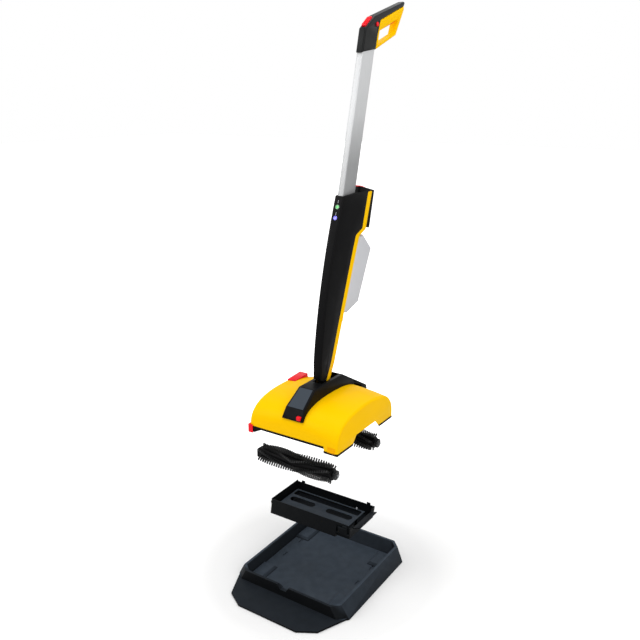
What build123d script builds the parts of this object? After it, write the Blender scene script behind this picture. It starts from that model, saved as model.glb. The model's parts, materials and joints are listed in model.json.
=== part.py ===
from build123d import *
import math
import os

# Cordless hard floor cleaner, drawn apart above its docking station
# Millimetres, +Z up, floor at z = 0, front towards -Y, user towards +Y
# The head group is modelled about the skirt plane of the head, the handle about its tilt hinge,
# the tank about its own underside, and each group is then placed once

# Layout of the drawn-apart machine
docked_height = 30.0      # skirt plane above the floor when the machine is docked
tank_lift = 172.0         # tank drawn up out of the station
head_lift = 306.0         # head drawn up off the tank
roller_drop = 97.0        # rollers drawn down out of the head
handle_lean = 14.0        # handle leans back from the vertical, degrees

# Clearances
turn_gap = 0.05           # radial clearance of a turning fit
slide_gap = 0.6           # clearance of a sliding or tilting piece
seat_gap = 0.3            # clearance between pieces that stand on each other

# Station
dock_gap_x = 12.5         # from the docked head to the edge of the tray's floor
dock_gap_y = 3.0
base_beyond_x = 40.0      # base beyond the edge of the tray's floor
base_beyond_front = 34.0
base_beyond_rear = 28.0
rim_beyond_x = 15.0       # rim beyond the edge of the tray's floor
rim_beyond_front = 37.0
rim_beyond_rear = 35.0
station_height = 45.0
base_corner = 26.0        # bevels of the tray's corners
rim_corner = 24.0
floor_corner = 1.0
floor_beyond_rear = 10.0  # tray's floor runs on behind the docked head
rim_width = 8.0
tray_floor = 5.0
tray_wall = 3.0
well_height = 36.0
lip_reach = 103.0         # front step plate beyond the base
lip_shoulder_reach = 71.0
lip_shoulder_inset = 47.0
lip_front_inset = 101.0
lip_thickness = 7.0
pad_x = 52.0
pad_y = 78.0
pad_chamfer = 7.0
notch_x = -13.5           # middle of the notch in the front rim
notch_width = 44.0
notch_depth = 16.0
drain_length = 22.0
drain_width = 6.0
drain_depth = 2.0
drain_inset = 27.0
drain_spacing = 89.0
drain_shift = 30.0
foot_radius = 11.0
foot_proud = 1.5
foot_inset_x = 54.0
foot_inset_y = 40.0

# Head cover
head_width = 305.0
head_depth = 320.0
cover_wall = 3.0
cover_end_radius = 9.0    # rounding of the crown into the ends
cover_corner_share = 0.4  # of it at the upright corners
cover_brow_inset = 55.0   # the crown starts to roll over this far inside the front and the rear
end_skirt_height = 20.0   # at the ends: top of the upright skirt, height the roll aims at, crown
end_roll_height = 78.0
end_top_height = 100.0
mid_skirt_height = 46.0   # the same in the middle
mid_roll_height = 92.0
mid_top_height = 109.0
skirt_draft = 2.0
skirt_relief = 13.0       # the skirt is this much shorter between the corner legs
leg_width = 45.0          # right corner legs
left_leg_width = 6.0
arch_foot_half = 81.0
arch_top_half = 56.0
arch_height = 25.0
trim_thickness = 2.0
trim_width = 5.0
trim_wedge = 34.0         # black foot wedge beside a left leg
trim_wedge_flat = 8.0
trim_wedge_width = 4.0

# Rollers
roller_radius = 30.0      # over the tuft tips
roller_core_radius = 15.0
roller_inset = 38.0       # roller axis inside the front and the rear of the head
gear_room = 36.5          # from the right end of a roller to the head's right end
roller_axis_height = 14.0
tuft_rows = 6
tuft_thickness = 3.2
tuft_margin = 4.0
tuft_twist = 70.0         # sweep of a tuft row from the middle to the end, degrees
journal_radius = 4.0
right_journal = 18.0
bush_radius = 6.5
cap_thickness = 6.0
cap_end_gap = 1.2         # bearing cap to the inside of the cover's left end
cap_half = 14.0
cap_corner = 4.0
tunnel_gap = 1.6
tunnel_wall = 1.8
tunnel_mouth = 29.0       # the tunnel opens to the tank below this height

# Gears
gear_module = 1.6
gear_width = 7.0
roller_teeth = 16
idler_teeth = 24
pinion_teeth = 12
gear_play = 0.65          # tooth play on the pitch circle
pinion_direction = 165.0  # from idler to pinion, degrees above the outward level line
gear_clearance = 1.5      # beside a gear
tooth_tip = 0.9           # tooth sizes in modules
tooth_root = 1.25
tooth_sink = 0.5
tooth_flank = 20.0
idler_axle_radius = 3.0

# Motors
motor_radius = 14.0
motor_length = 58.0
motor_boss_radius = 5.0
motor_boss_length = 3.0
motor_shaft_radius = 2.0
motor_shaft_length = 14.0

# Chassis
chassis_end_gap = 5.6     # to the inside of the cover's left end
plate_height = 50.0       # underside of the plate over the tank bay
plate_inset = 49.0        # plate edge inside the roller axis
bulkhead_wall = 2.4
fork_wall = 3.0
bulkhead_reach = 23.0     # gear walls inside the roller axis
motor_mount_reach = 44.0
motor_mount_inset = 10.0
motor_mount_top = 72.0
bulkhead_outer_top = 34.0
hinge_y = 8.0
hinge_height = 118.0
hinge_pin_radius = 4.0
tower_half = 15.0         # inner faces of the hinge towers
tower_wall = 6.0
tower_depth = 26.0
tower_head = 10.0
boss_x = 75.0
boss_inset = 28.0
boss_radius = 5.0
screw_radius = 1.6
screw_head_radius = 3.2
screw_head = 2.2
screw_depth = 12.0
screw_end_gap = 1.0

# Spray bar and hose
spray_offset = 9.0        # spray bar in front of the front roller axis
spray_height = 58.0
spray_radius = 4.0
spray_half = 90.0
nozzle_radius = 1.8
nozzle_count = 5
nozzle_pitch = 40.0
hose_radius = 3.0
hose_bend = 12.0
hose_low_y = -60.0
hose_end_y = -12.0
hose_rise = 84.0

# Bridge and pedal
bridge_half = 36.0        # at the foot of the nose
bridge_top_half = 28.0
bridge_edge = 4.0
bridge_wall = 3.0
bridge_front_height = 73.0
bridge_nose_y = 15.0      # nose edge behind the front of the head
bridge_nose_height = 101.0
bridge_brow_y = 76.0
bridge_height = 143.0
bridge_rear_inset = 90.0  # rear end of the level top
bridge_end_inset = 32.0   # the pedal starts behind this
bridge_seat = 0.4
pedal_overhang = 39.0     # pedal tip behind the head
pedal_tip_height = 69.0
pedal_tip_thickness = 14.0
pedal_pin_radius = 2.5
pedal_pin_inset = 7.0     # pin behind the rear end of the bridge
pedal_pin_depth = 8.0
pedal_thickness = 9.0
pedal_knuckle_half = 17.0
pedal_knuckle_radius = 5.5
pedal_lug_width = 9.0
pedal_overhang_gap = 10.0
slot_half = 16.5
slot_reach_front = 39.0   # from the hinge
slot_reach_rear = 66.0
release_width = 13.0
release_height = 11.0
release_depth = 9.0
release_proud = 2.0
release_travel = 3.0
release_inset = 14.0
release_z = 80.0

# Rocker and roller latches
rocker_end_gap = 4.5
rocker_width = 30.0
rocker_y0 = 24.0
rocker_y1 = 96.0
rocker_sink = 10.0        # rocker pin below the top of the cover's end
rocker_proud = 4.0
rocker_step = 4.0
rocker_draft = 2.5        # lean of the rocker's ends, room for its tilt
rocker_pin_radius = 2.0
rocker_lug_width = 5.0
rocker_lug_half = 5.0
latch_offset = 28.0       # latch beyond the roller axis
latch_z = 9.0
latch_length = 20.0
latch_height = 27.0
latch_proud = 7.0
latch_tab = 11.0          # the latch wraps round the cover's corner by this much
latch_tab_thickness = 2.4
latch_stem_half = 3.0
latch_travel = 5.0

# Tank
tank_end_gap = 3.5        # to the inside of the cover's ends
tank_roller_gap = 16.0    # to the tuft tips
tank_height = 38.0
tank_front_height = 46.0
tank_left_height = 45.0
tank_wall = 2.5
tank_draft = 4.0
tank_flare = 8.0          # foot flare of the front wall
tank_flare_height = 40.0
tank_seat = -8.0          # tank underside below the skirt plane when it is in the head
tank_lip_reach = 19.0
lip_arch_gap = 2.0        # pouring lip to the sides of the arch
tank_lip_height = 26.0
tank_lip_wall = 3.0
tank_lip_rise = 7.0
ear_width = 12.0
ear_height = 7.0
ear_inset = 22.0
deck_height = 29.0
deck_wall = 2.5
deck_side_gap = 12.0
deck_front_gap = 6.0
deck_rear_gap = 30.0
deck_leg_radius = 4.0
deck_slot_inner = 22.0    # slot ends from the middle and from the deck's edge
deck_slot_outer = 13.5
deck_slot_width = 24.0
deck_slot_setback = 58.0
deck_bar = 6.0            # bar along the deck's rear edge
deck_trough = 28.0        # long opening in front of that bar
deck_trough_margin = 6.0
clip_inset = 8.0
clip_width = 32.0
clip_thickness = 5.0
clip_shoulder = 36.0      # the clip is full width up to here
clip_hook_width = 13.5
clip_hook_thickness = 3.0
clip_bottom = 16.0
clip_top = 44.0
clip_hook = 4.0
clip_eye_radius = 2.6
clip_pin_radius = 1.2     # trunnions at both ends of the eye
clip_lug_width = 3.0

# Column
column_front_low = (-46.0, 24.0)      # (rearward, along the handle) from the hinge
column_front_knee = (-58.0, 74.0)
column_front_belly = (-73.0, 400.0)
column_front_top = (-58.0, 562.0)
column_back_low = (-17.0, 17.0)
column_back_knee = (-4.0, 77.0)
column_back_mid = (22.0, 416.0)
column_shelf_front = (26.0, 460.0)
column_shelf_rear = (53.0, 483.0)
column_back_top = (54.0, 597.0)
column_foot_half = 14.5
column_top_front_half = 16.0
column_top_rear_half = 28.6
column_wall = 2.5
shelf_corner = 12.0
column_edge = 5.0
column_trim_depth = 18.0
light_radius = 2.6
light_depth = 3.5
light_proud = 0.5
light_drop = 32.0         # green light below the top of the column's front
light_spacing = 32.0      # blue light below the green one
light_green_height = column_front_top[1] - light_drop
light_blue_height = light_green_height - light_spacing

# Hinge foot
foot_eye_radius = 11.0
foot_arm_gap = 1.0        # arm inside the eye's outline
foot_block_half = 9.8
foot_block_front = -34.0
foot_block_rear = -14.0
foot_block_top = 92.0
column_bolt_radius = 3.0
column_bolt_height = 70.0
column_bolt_v = -26.0

# Upright tube
tube_width = 20.0
tube_depth = 66.0
tube_centre = -22.0
tube_corner = 4.0
tube_wall = 1.8
tube_bottom = 492.0
tube_top = 1012.0
tube_fit = 0.4
tube_plug = 8.0          # plug that stands up inside the tube's lower end

# Battery and terminal
battery_half = 26.0
battery_front = 20.0
battery_rear = 100.0
battery_length = 114.0
battery_foot = 489.0
battery_corner = 9.0
battery_button_half = 11.0
battery_button_front = 34.0
battery_button_rear = 64.0
battery_button_proud = 4.0
battery_button_sink = 5.0
battery_button_travel = 2.5
battery_rail_depth = 6.0
battery_rail_half = 12.0
terminal_depth = 3.5
terminal_length = 40.0
terminal_rise = 11.0      # above the battery's foot
terminal_height = battery_foot + terminal_rise

# Water bottle
bottle_gap = 1.0
bottle_wall = 2.0
bottle_foot = 226.0
bottle_foot_depth = 22.0
bottle_rear_low = (101.0, 262.0)
bottle_rear_top = (123.0, 431.0)
bottle_crown = (70.0, 466.0)
bottle_corner = 8.0
cap_radius = 9.0
cap_height = 26.0
cap_neck_radius = 6.5
cap_v = 39.5
cap_roof = 2.0
cap_grips = 12
cap_grip_radius = 1.5

# Pump and control board
pump_radius = 10.0
pump_length = 70.0
pump_height = 150.0
board_thickness = 1.6
board_half = 9.0
board_length = 72.0
board_foot = 408.0
board_v = -40.0

# D-handle
grip_half = 12.0
grip_edge = 5.0
loop_edge = 4.0
socket_front = -58.0
socket_rear = 14.5
socket_front_low = 966.0
socket_rear_low = 996.0
bend_low = 1034.0
bend_top = (-17.0, 1081.0)
grip_tip = (152.0, 1182.0)
grip_tip_radius = 5.0
grip_tip_under = (146.0, 1163.0)
grip_under_front = (21.0, 1081.0)
loop_heel = (119.0, 1069.0)
loop_tip = (148.0, 1152.0)
gap_front_low = (19.0, 1009.0)
gap_front_top = (20.0, 1051.0)
gap_rear_top = (118.0, 1117.0)
gap_rear_low = (111.0, 1071.0)

# Controls on the handle
trigger_start = 8.0
trigger_length = 88.0
trigger_half = 8.0
trigger_proud = 4.0
trigger_inside = 4.0
trigger_recess = 10.0
trigger_pivot_depth = 1.0
trigger_pin_radius = 1.5
trigger_pin_half = 10.5
slider_half = 7.0
slider_length = 44.0
slider_proud = 4.0
slider_inside = 2.0
slider_travel = 6.0
slider_ribs = 6
slider_rib_height = 1.5
slider_rib_width = 2.5
side_button_radius = 6.0
side_button_v = 1.0
side_button_height = 1063.0
side_button_proud = 3.0
side_button_inside = 4.0
side_button_travel = 2.5

# Places worked out from the sizes above
head_rest = docked_height + tank_lift + head_lift
tank_rest = docked_height + tank_seat + tank_lift
tray_inside_x = head_width + 2 * dock_gap_x
tray_inside_y = head_depth + 2 * dock_gap_y
station_base_x = tray_inside_x + 2 * base_beyond_x
base_front = -tray_inside_y / 2 - base_beyond_front
base_rear = tray_inside_y / 2 + base_beyond_rear
station_rim_x = tray_inside_x + 2 * rim_beyond_x
rim_front = -tray_inside_y / 2 - rim_beyond_front
rim_rear = tray_inside_y / 2 + rim_beyond_rear
roller_axis_y = head_depth / 2 - roller_inset
roller_left = -head_width / 2 + cover_wall + cap_end_gap + cap_thickness + seat_gap
roller_right = head_width / 2 - gear_room
roller_length = roller_right - roller_left
roller_shift = (roller_left + roller_right) / 2
cap_right = roller_left - seat_gap
cap_left = cap_right - cap_thickness
bulkhead_x = roller_right + gear_clearance
gear_x = bulkhead_x + bulkhead_wall + gear_clearance
fork_x = gear_x + gear_width + gear_clearance
pitch_roller = gear_module * roller_teeth / 2
pitch_idler = gear_module * idler_teeth / 2
pitch_pinion = gear_module * pinion_teeth / 2
idler_z = roller_axis_height + pitch_roller + pitch_idler
pinion_reach = pitch_idler + pitch_pinion
pinion_y = roller_axis_y + pinion_reach * math.cos(math.radians(pinion_direction))
pinion_z = idler_z + pinion_reach * math.sin(math.radians(pinion_direction))
tunnel_inner = roller_radius + tunnel_gap
tunnel_outer = tunnel_inner + tunnel_wall
plate_half = roller_axis_y - plate_inset
bulkhead_inner = roller_axis_y - bulkhead_reach
motor_mount_inner = roller_axis_y - motor_mount_reach
motor_mount_outer = roller_axis_y - motor_mount_inset
boss_y = plate_half - boss_inset
spray_y = -roller_axis_y - spray_offset
latch_y = roller_axis_y + latch_offset

bridge_low = bridge_front_height - skirt_draft
bridge_rear_y = head_depth / 2 - bridge_rear_inset
bridge_end_y = head_depth / 2 - bridge_end_inset
pedal_reach = head_depth / 2 + pedal_overhang
release_x = bridge_half - release_inset
rocker_x0 = -head_width / 2 + rocker_end_gap
rocker_x1 = rocker_x0 + rocker_width

tank_length = head_width - 2 * (cover_wall + tank_end_gap)
tank_depth = 2 * (roller_axis_y - roller_radius - tank_roller_gap)
tank_lip_half = arch_top_half - lip_arch_gap
clip_x1 = tank_length / 2 - clip_inset
clip_x0 = clip_x1 - clip_width
deck_half = tank_length / 2 - tank_draft - tank_wall - deck_side_gap
deck_rear_y = tank_depth / 2 - deck_rear_gap

pedal_pin_y = bridge_end_y + pedal_pin_inset
pedal_pin_z = bridge_height + (pedal_tip_height - bridge_height) / (pedal_reach - bridge_rear_y) * (
    pedal_pin_y - bridge_rear_y) - pedal_pin_depth
rocker_pin_y = (rocker_y0 + rocker_y1) / 2
rocker_pin_z = end_top_height - rocker_sink
rocker_pin_left = -head_width / 2 + cover_wall / 2
rocker_pin_right = rocker_x1 + slide_gap + rocker_lug_width

head_at = Pos(0, 0, head_rest)
tank_at = Pos(0, 0, tank_rest)
roller_at = Pos(0, 0, head_rest - roller_drop)
handle_at = head_at * Pos(0, hinge_y, hinge_height) * Rot(-handle_lean, 0, 0)


def box_between(x0, x1, y0, y1, z0, z1):
    """Box from its two corners."""
    middle = Pos((x0 + x1) / 2, (y0 + y1) / 2, (z0 + z1) / 2)
    return middle * Box(abs(x1 - x0), abs(y1 - y0), abs(z1 - z0))


def outline(points):
    """Flat face inside a closed outline of straight runs."""
    return make_face(Polyline(*points, close=True))


def bevelled_face(width, front, rear, bevel):
    """Flat rectangle between front and rear with its corners cut off."""
    x = width / 2
    return outline([(-x + bevel, front), (x - bevel, front), (x, front + bevel), (x, rear - bevel),
                    (x - bevel, rear), (-x + bevel, rear), (-x, rear - bevel), (-x, front + bevel)])


def across(face, x0, x1):
    """Carry a (y, z) face along X from x0 to x1."""
    return extrude(Plane.YZ.offset(x0) * face, amount=x1 - x0)


def rod(radius, x0, x1, y, z):
    """Round bar along X."""
    return Pos((x0 + x1) / 2, y, z) * Rot(0, 90, 0) * Cylinder(radius, abs(x1 - x0))


def post(radius, x, y, z0, z1):
    """Round bar along Z."""
    return Pos(x, y, (z0 + z1) / 2) * Cylinder(radius, abs(z1 - z0))


def flipped(shape):
    """The same piece on the front side of the head."""
    return mirror(shape, about=Plane.XZ)


def between(start, end, share):
    """Point on the straight line from start to end."""
    return tuple(a + (b - a) * share for a, b in zip(start, end))


def along_edges(shape, axis, radius):
    """Round the straight edges that run along one axis."""
    return fillet(shape.edges().filter_by(axis), radius)


# Station

def tray_inner_half(z):
    """Half width of the tray's inside at height z."""
    rise = (z - tray_floor) / (station_height - tray_floor)
    mouth = station_rim_x / 2 - rim_width
    return tray_inside_x / 2 + (mouth - tray_inside_x / 2) * rise


def tray_outer_half(z):
    """Half width of the tray's outside at height z."""
    rise = (z - foot_proud) / (station_height - foot_proud)
    return station_base_x / 2 + (station_rim_x - station_base_x) / 2 * rise


def station_tray():
    """Tray with sloped walls, a step plate in front, four pads and two hollow side walls."""
    base = bevelled_face(station_base_x, base_front, base_rear, base_corner)
    rim = bevelled_face(station_rim_x, rim_front, rim_rear, rim_corner)
    tray = loft([Pos(0, 0, foot_proud) * base, Pos(0, 0, station_height) * rim], ruled=True)
    front = base_front
    start = front + base_corner + tray_wall
    side = station_base_x / 2 - tray_wall
    shoulder = station_base_x / 2 - lip_shoulder_inset
    tip = station_base_x / 2 - lip_front_inset
    plate = outline([
        (-side, start), (-shoulder, front - lip_shoulder_reach), (-tip, front - lip_reach),
        (tip, front - lip_reach), (shoulder, front - lip_shoulder_reach), (side, start)])
    tray += extrude(Pos(0, 0, foot_proud) * plate, amount=lip_thickness - foot_proud)
    floor = bevelled_face(tray_inside_x, -tray_inside_y / 2, tray_inside_y / 2 + floor_beyond_rear,
                          floor_corner)
    mouth = bevelled_face(station_rim_x - 2 * rim_width, rim_front + rim_width, rim_rear - rim_width,
                          rim_corner - rim_width / 2)
    tray -= loft([Pos(0, 0, tray_floor) * floor, Pos(0, 0, station_height) * mouth], ruled=True)
    well = outline([
        (tray_inner_half(tray_floor) + tray_wall, foot_proud),
        (tray_outer_half(foot_proud) - tray_wall, foot_proud),
        (tray_outer_half(well_height) - tray_wall, well_height),
        (tray_inner_half(well_height) + tray_wall, well_height)])
    well_front = base_front + base_corner + 2 * tray_wall
    well_rear = base_rear - base_corner - 2 * tray_wall
    hollow = extrude(Plane.XZ.offset(-well_rear) * well, amount=well_rear - well_front)
    tray -= hollow
    tray -= mirror(hollow, about=Plane.YZ)
    pad_top = docked_height + roller_axis_height - roller_radius - seat_gap
    pad = box_between(-pad_x / 2, pad_x / 2, -pad_y / 2, pad_y / 2, foot_proud, pad_top)
    pad = chamfer(pad.edges().group_by(Axis.Z)[-1], pad_chamfer)
    pad_place_x = (tray_inside_x - pad_x) / 2 + tray_wall
    pad_place_y = (tray_inside_y - pad_y) / 2 + tray_wall
    for side in (-1, 1):
        for end in (-1, 1):
            tray += Pos(side * pad_place_x, end * pad_place_y, 0) * pad
            drain_y = drain_shift + end * drain_spacing / 2
            drain = Pos(side * (tray_inside_x / 2 - drain_inset), drain_y, tray_floor)
            tray -= drain * Box(drain_width, drain_length, 2 * drain_depth)
    notch_top = station_height + tray_wall
    notch_low = station_height - notch_depth
    notch = outline([
        (-notch_width / 2, notch_top), (-notch_width / 4, notch_low),
        (notch_width / 4, notch_low), (notch_width / 2, notch_top)])
    cut = extrude(Plane.XZ.offset(-rim_front - 3 * rim_width) * notch, amount=4 * rim_width)
    tray -= Pos(notch_x, 0, 0) * cut
    return tray


def station_feet():
    """Rubber feet under the tray's corners and one under its middle."""
    foot_x = station_base_x / 2 - foot_inset_x
    places = [(x * foot_x, y) for x in (-1, 1) for y in (base_front + foot_inset_y, base_rear - foot_inset_y)]
    feet = [post(foot_radius, x, y, 0, foot_proud) for x, y in places]
    feet.append(post(foot_radius, 0, 0, 0, foot_proud))
    return Compound(feet)


# Head cover and what stands on it

def cover_section(x, drop, ease=0):
    """Cover outline at x, drawn in by drop on every side that shows, and rounded off by ease."""
    crown = 1 - (2 * x / head_width) ** 2
    skirt = end_skirt_height + (mid_skirt_height - end_skirt_height) * crown
    roll = end_roll_height + (mid_roll_height - end_roll_height) * crown - drop - ease
    top = end_top_height + (mid_top_height - end_top_height) * crown - drop - ease
    foot = head_depth / 2 - drop - ease * cover_corner_share
    curve = Bezier((foot, skirt), (foot, roll), (foot - cover_brow_inset, top), (0, top))
    rear_half = [Line((foot, 0), (foot, skirt)), curve]
    front_half = [mirror(edge, about=Plane.YZ) for edge in rear_half]
    return make_face(rear_half + front_half + [Line((-foot, 0), (foot, 0))])


def cover_solid(drop):
    """Crowned form of the cover, filled in, drawn in by drop."""
    start = head_width / 2 - drop - cover_end_radius
    stations = [-start, -start / 2, 0, start / 2, start]
    body = loft([Plane.YZ.offset(x) * cover_section(x, drop) for x in stations])
    for side in (-1, 1):
        rounding = []
        for turn in (0, 30, 60, 90):
            angle = math.radians(turn)
            x = start + cover_end_radius * math.sin(angle)
            section = cover_section(start, drop, cover_end_radius * (1 - math.cos(angle)))
            rounding.append(Plane.YZ.offset(side * x) * section)
        body += loft(rounding)
    return body


def rocker_hole(grow):
    """Upright block through which the rocker reaches, enlarged by grow."""
    return box_between(rocker_x0 - grow, rocker_x1 + grow, rocker_y0 - grow, rocker_y1 + grow,
                       end_roll_height, mid_top_height + rocker_step)


def cover_bosses():
    """Places of the screw bosses inside the cover."""
    return [(x * boss_x, y * boss_y) for x in (-1, 1) for y in (-1, 1)]


def head_cover():
    """Yellow cover with corner legs, end arches, screw bosses and openings."""
    outer = cover_solid(0)
    cover = outer - cover_solid(cover_wall)
    plate_top = plate_height + tunnel_wall
    for x, y in cover_bosses():
        boss = post(boss_radius, x, y, plate_top + seat_gap, mid_top_height) & outer
        boss -= post(screw_radius + turn_gap, x, y, plate_top, plate_top + screw_depth)
        cover += boss
    cover -= box_between(left_leg_width - head_width / 2, head_width / 2 - leg_width, -head_depth, head_depth,
                         -trim_thickness, skirt_relief)
    arch = outline([(-arch_foot_half, -trim_thickness), (-arch_top_half, arch_height),
                    (arch_top_half, arch_height), (arch_foot_half, -trim_thickness)])
    cover -= across(arch, -head_width, head_width)
    tower = tower_half + tower_wall + slide_gap
    cover -= box_between(-tower, tower, hinge_y - tower_depth / 2 - slide_gap,
                         hinge_y + tower_depth / 2 + slide_gap, plate_top, hinge_height)
    cover -= rocker_hole(slide_gap)
    for side in (-1, 1):
        cover -= latch_window(side)
    cover += rocker_lug()
    cover -= rocker_rod(turn_gap)
    return cover - release_pocket()


def latch_window(side):
    """Slot in the left end wall for the stem of a roller latch and its travel."""
    reach = latch_stem_half + slide_gap
    window = box_between(-head_width, -head_width / 2 + 2 * cover_wall, latch_y - reach,
                         latch_y + reach + latch_travel, latch_z - reach, latch_z + reach)
    return window if side > 0 else flipped(window)


def roller_latch(side):
    """Red sliding latch at the left end that holds a bearing cap."""
    outer = -head_width / 2 - seat_gap
    low = latch_z - latch_height / 2
    high = latch_z + latch_height / 2
    tab_y0 = head_depth / 2 + slide_gap
    tab_y1 = tab_y0 + latch_tab_thickness
    pad = box_between(outer - latch_proud, outer, latch_y - latch_length / 2, tab_y1, low, high)
    pad = chamfer(pad.edges().group_by(Axis.X)[0], latch_proud / 3)
    pad += box_between(outer - latch_proud / 2, latch_tab - head_width / 2, tab_y0, tab_y1, low, high)
    inner = -head_width / 2 + cover_wall
    stem = box_between(outer, inner + seat_gap, latch_y - latch_stem_half, latch_y + latch_stem_half,
                       latch_z - latch_stem_half, latch_z + latch_stem_half)
    latch = pad + stem
    return latch if side > 0 else flipped(latch)


def edge_trim():
    """Black strips under the corner legs and the skirt, and a foot wedge beside each left leg."""
    left = left_leg_width - head_width / 2 + seat_gap
    right = head_width / 2 - leg_width
    wedge = outline([(left, -trim_thickness), (left + trim_wedge_flat, -trim_thickness),
                     (left + trim_wedge, skirt_relief - trim_thickness), (left + trim_wedge, skirt_relief),
                     (left, skirt_relief)])
    strips = []
    for end in (-1, 1):
        y = end * head_depth / 2
        inner_y = y - end * trim_width
        strips.append(box_between(head_width / 2, right, y, inner_y, -trim_thickness, 0))
        strips.append(box_between(left + trim_wedge + seat_gap, right - seat_gap, y, y - end * cover_wall,
                                  skirt_relief - trim_thickness, skirt_relief))
        for side in (-1, 1):
            x = side * head_width / 2
            strips.append(box_between(x, x - side * cover_wall, inner_y - end * seat_gap,
                                      end * arch_foot_half, -trim_thickness, 0))
        foot = extrude(Plane.XZ.offset(-head_depth / 2) * wedge, amount=trim_wedge_width)
        strips.append(foot if end > 0 else flipped(foot))
    return Compound(strips)


def rocker_lug():
    """Lug under the cover that carries the right end of the rocker pin."""
    x0 = rocker_x1 + slide_gap
    lug = box_between(x0, x0 + rocker_lug_width, rocker_pin_y - rocker_lug_half,
                      rocker_pin_y + rocker_lug_half, rocker_pin_z - rocker_lug_half, mid_top_height)
    return lug & cover_solid(cover_wall / 2)


def rocker_lever():
    """Red rocker in the cover's left shoulder, its top rising to the rear."""
    front_top = end_top_height + rocker_proud
    side = outline([
        (rocker_y0, rocker_pin_z), (rocker_y0 + rocker_draft, front_top),
        (rocker_y1 - rocker_draft, front_top + rocker_step),
        (rocker_y1, rocker_pin_z - rocker_step), (rocker_pin_y, rocker_pin_z - rocker_step)])
    lever = across(side, rocker_x0, rocker_x1)
    return lever - rocker_rod(turn_gap)


def rocker_rod(grow):
    """Round bar on the rocker's axis, from the end wall to the lug."""
    return rod(rocker_pin_radius + grow, rocker_pin_left, rocker_pin_right, rocker_pin_y, rocker_pin_z)


def rocker_pin():
    """Pivot pin of the rocker."""
    return rocker_rod(0)


def release_pocket():
    """Pocket in the cover and the bridge for the red release button and its travel."""
    back = -head_depth / 2 + release_depth + release_travel + slide_gap
    return box_between(release_x - release_width / 2 - slide_gap, release_x + release_width / 2 + slide_gap,
                       -head_depth, back, release_z - release_height / 2 - slide_gap,
                       release_z + release_height / 2 + slide_gap)


def release_button():
    """Red button in the lower right corner of the bridge's nose."""
    front = -head_depth / 2 - release_proud
    button = box_between(release_x - release_width / 2, release_x + release_width / 2, front,
                         -head_depth / 2 + release_depth, release_z - release_height / 2,
                         release_z + release_height / 2)
    return chamfer(button.edges().group_by(Axis.Y)[0], release_proud / 2)


# Bridge and pedal

def rear_line(y):
    """Height of the bridge's long rear slope."""
    slope = (pedal_tip_height - bridge_height) / (pedal_reach - bridge_rear_y)
    return bridge_height + slope * (y - bridge_rear_y)


def bridge_profile():
    """Side outline of the bridge, down into the cover."""
    front = -head_depth / 2
    return outline([
        (front, bridge_low), (front, bridge_front_height), (front + bridge_nose_y, bridge_nose_height),
        (front + bridge_brow_y, bridge_height), (bridge_rear_y, bridge_height),
        (bridge_end_y, rear_line(bridge_end_y)), (bridge_end_y, bridge_low)])


def narrowed(profile, inset):
    """A side outline carried across the bridge, narrower towards the top."""
    draft = (bridge_half - bridge_top_half) / (bridge_height - bridge_low)
    foot = bridge_half + draft * bridge_low - inset
    top = bridge_top_half - inset
    face = outline([(-foot, 0), (-top, bridge_height), (top, bridge_height), (foot, 0)])
    mould = extrude(Plane.XZ * face, amount=head_depth, both=True)
    return across(profile, -head_width / 2, head_width / 2) & mould


def flanks(block):
    """Left and right faces of the bridge or the pedal."""
    faces = block.faces().sort_by(Axis.X)
    return faces[0], faces[-1]


def bridge_cover():
    """Black shell over the middle of the head, slotted for the column, with lugs for the pedal."""
    profile = bridge_profile()
    inside = offset(profile, amount=-bridge_wall, kind=Kind.INTERSECTION)
    bridge = narrowed(profile, 0)
    edges = [edge for flank in flanks(bridge) for edge in flank.edges()]
    rims = [edge for edge in edges if edge.center().Z > bridge_front_height
            and edge.center().Y < bridge_end_y - bridge_edge]
    bridge = fillet(rims, bridge_edge)
    inside += Pos(0, -bridge_wall) * inside
    bridge -= narrowed(inside, bridge_wall)
    lug_start = pedal_knuckle_half + slide_gap
    for side in (-1, 1):
        x0 = side * lug_start
        x1 = side * (lug_start + pedal_lug_width)
        lug = box_between(x0, x1, bridge_end_y - bridge_wall, pedal_pin_y,
                          pedal_pin_z - pedal_knuckle_radius, pedal_pin_z + pedal_knuckle_radius)
        bridge += lug + rod(pedal_knuckle_radius, x0, x1, pedal_pin_y, pedal_pin_z)
    bridge -= rod(pedal_pin_radius + turn_gap, -bridge_half, bridge_half, pedal_pin_y, pedal_pin_z)
    bridge -= cover_solid(-bridge_seat)
    bridge -= box_between(-slot_half, slot_half, hinge_y - slot_reach_front, hinge_y + slot_reach_rear,
                          hinge_height, 2 * bridge_height)
    return bridge - release_pocket()


def foot_pedal():
    """Black pedal that carries on the rear slope of the bridge and overhangs the head."""
    start = bridge_end_y + slide_gap
    drop_y = head_depth / 2 + pedal_overhang_gap
    side = outline([
        (start, rear_line(start)), (pedal_reach, pedal_tip_height),
        (pedal_reach + skirt_draft, pedal_tip_height - pedal_tip_thickness),
        (drop_y, pedal_tip_height - pedal_tip_thickness), (drop_y, rear_line(drop_y) - pedal_thickness),
        (start, rear_line(start) - pedal_thickness)])
    pedal = narrowed(side, 0)
    rims = [flank.edges().sort_by(SortBy.LENGTH)[-1] for flank in flanks(pedal)]
    pedal = fillet(rims, bridge_edge)
    pedal += rod(pedal_knuckle_radius, -pedal_knuckle_half, pedal_knuckle_half, pedal_pin_y, pedal_pin_z)
    for side in (-1, 1):
        x0 = side * pedal_knuckle_half
        x1 = side * (pedal_knuckle_half + pedal_lug_width + 2 * slide_gap)
        room = pedal_knuckle_radius + slide_gap
        pedal -= box_between(x0, x1, bridge_rear_y, pedal_pin_y + room, 0, pedal_pin_z + room)
    return pedal - rod(pedal_pin_radius + turn_gap, -bridge_half, bridge_half, pedal_pin_y, pedal_pin_z)


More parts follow.
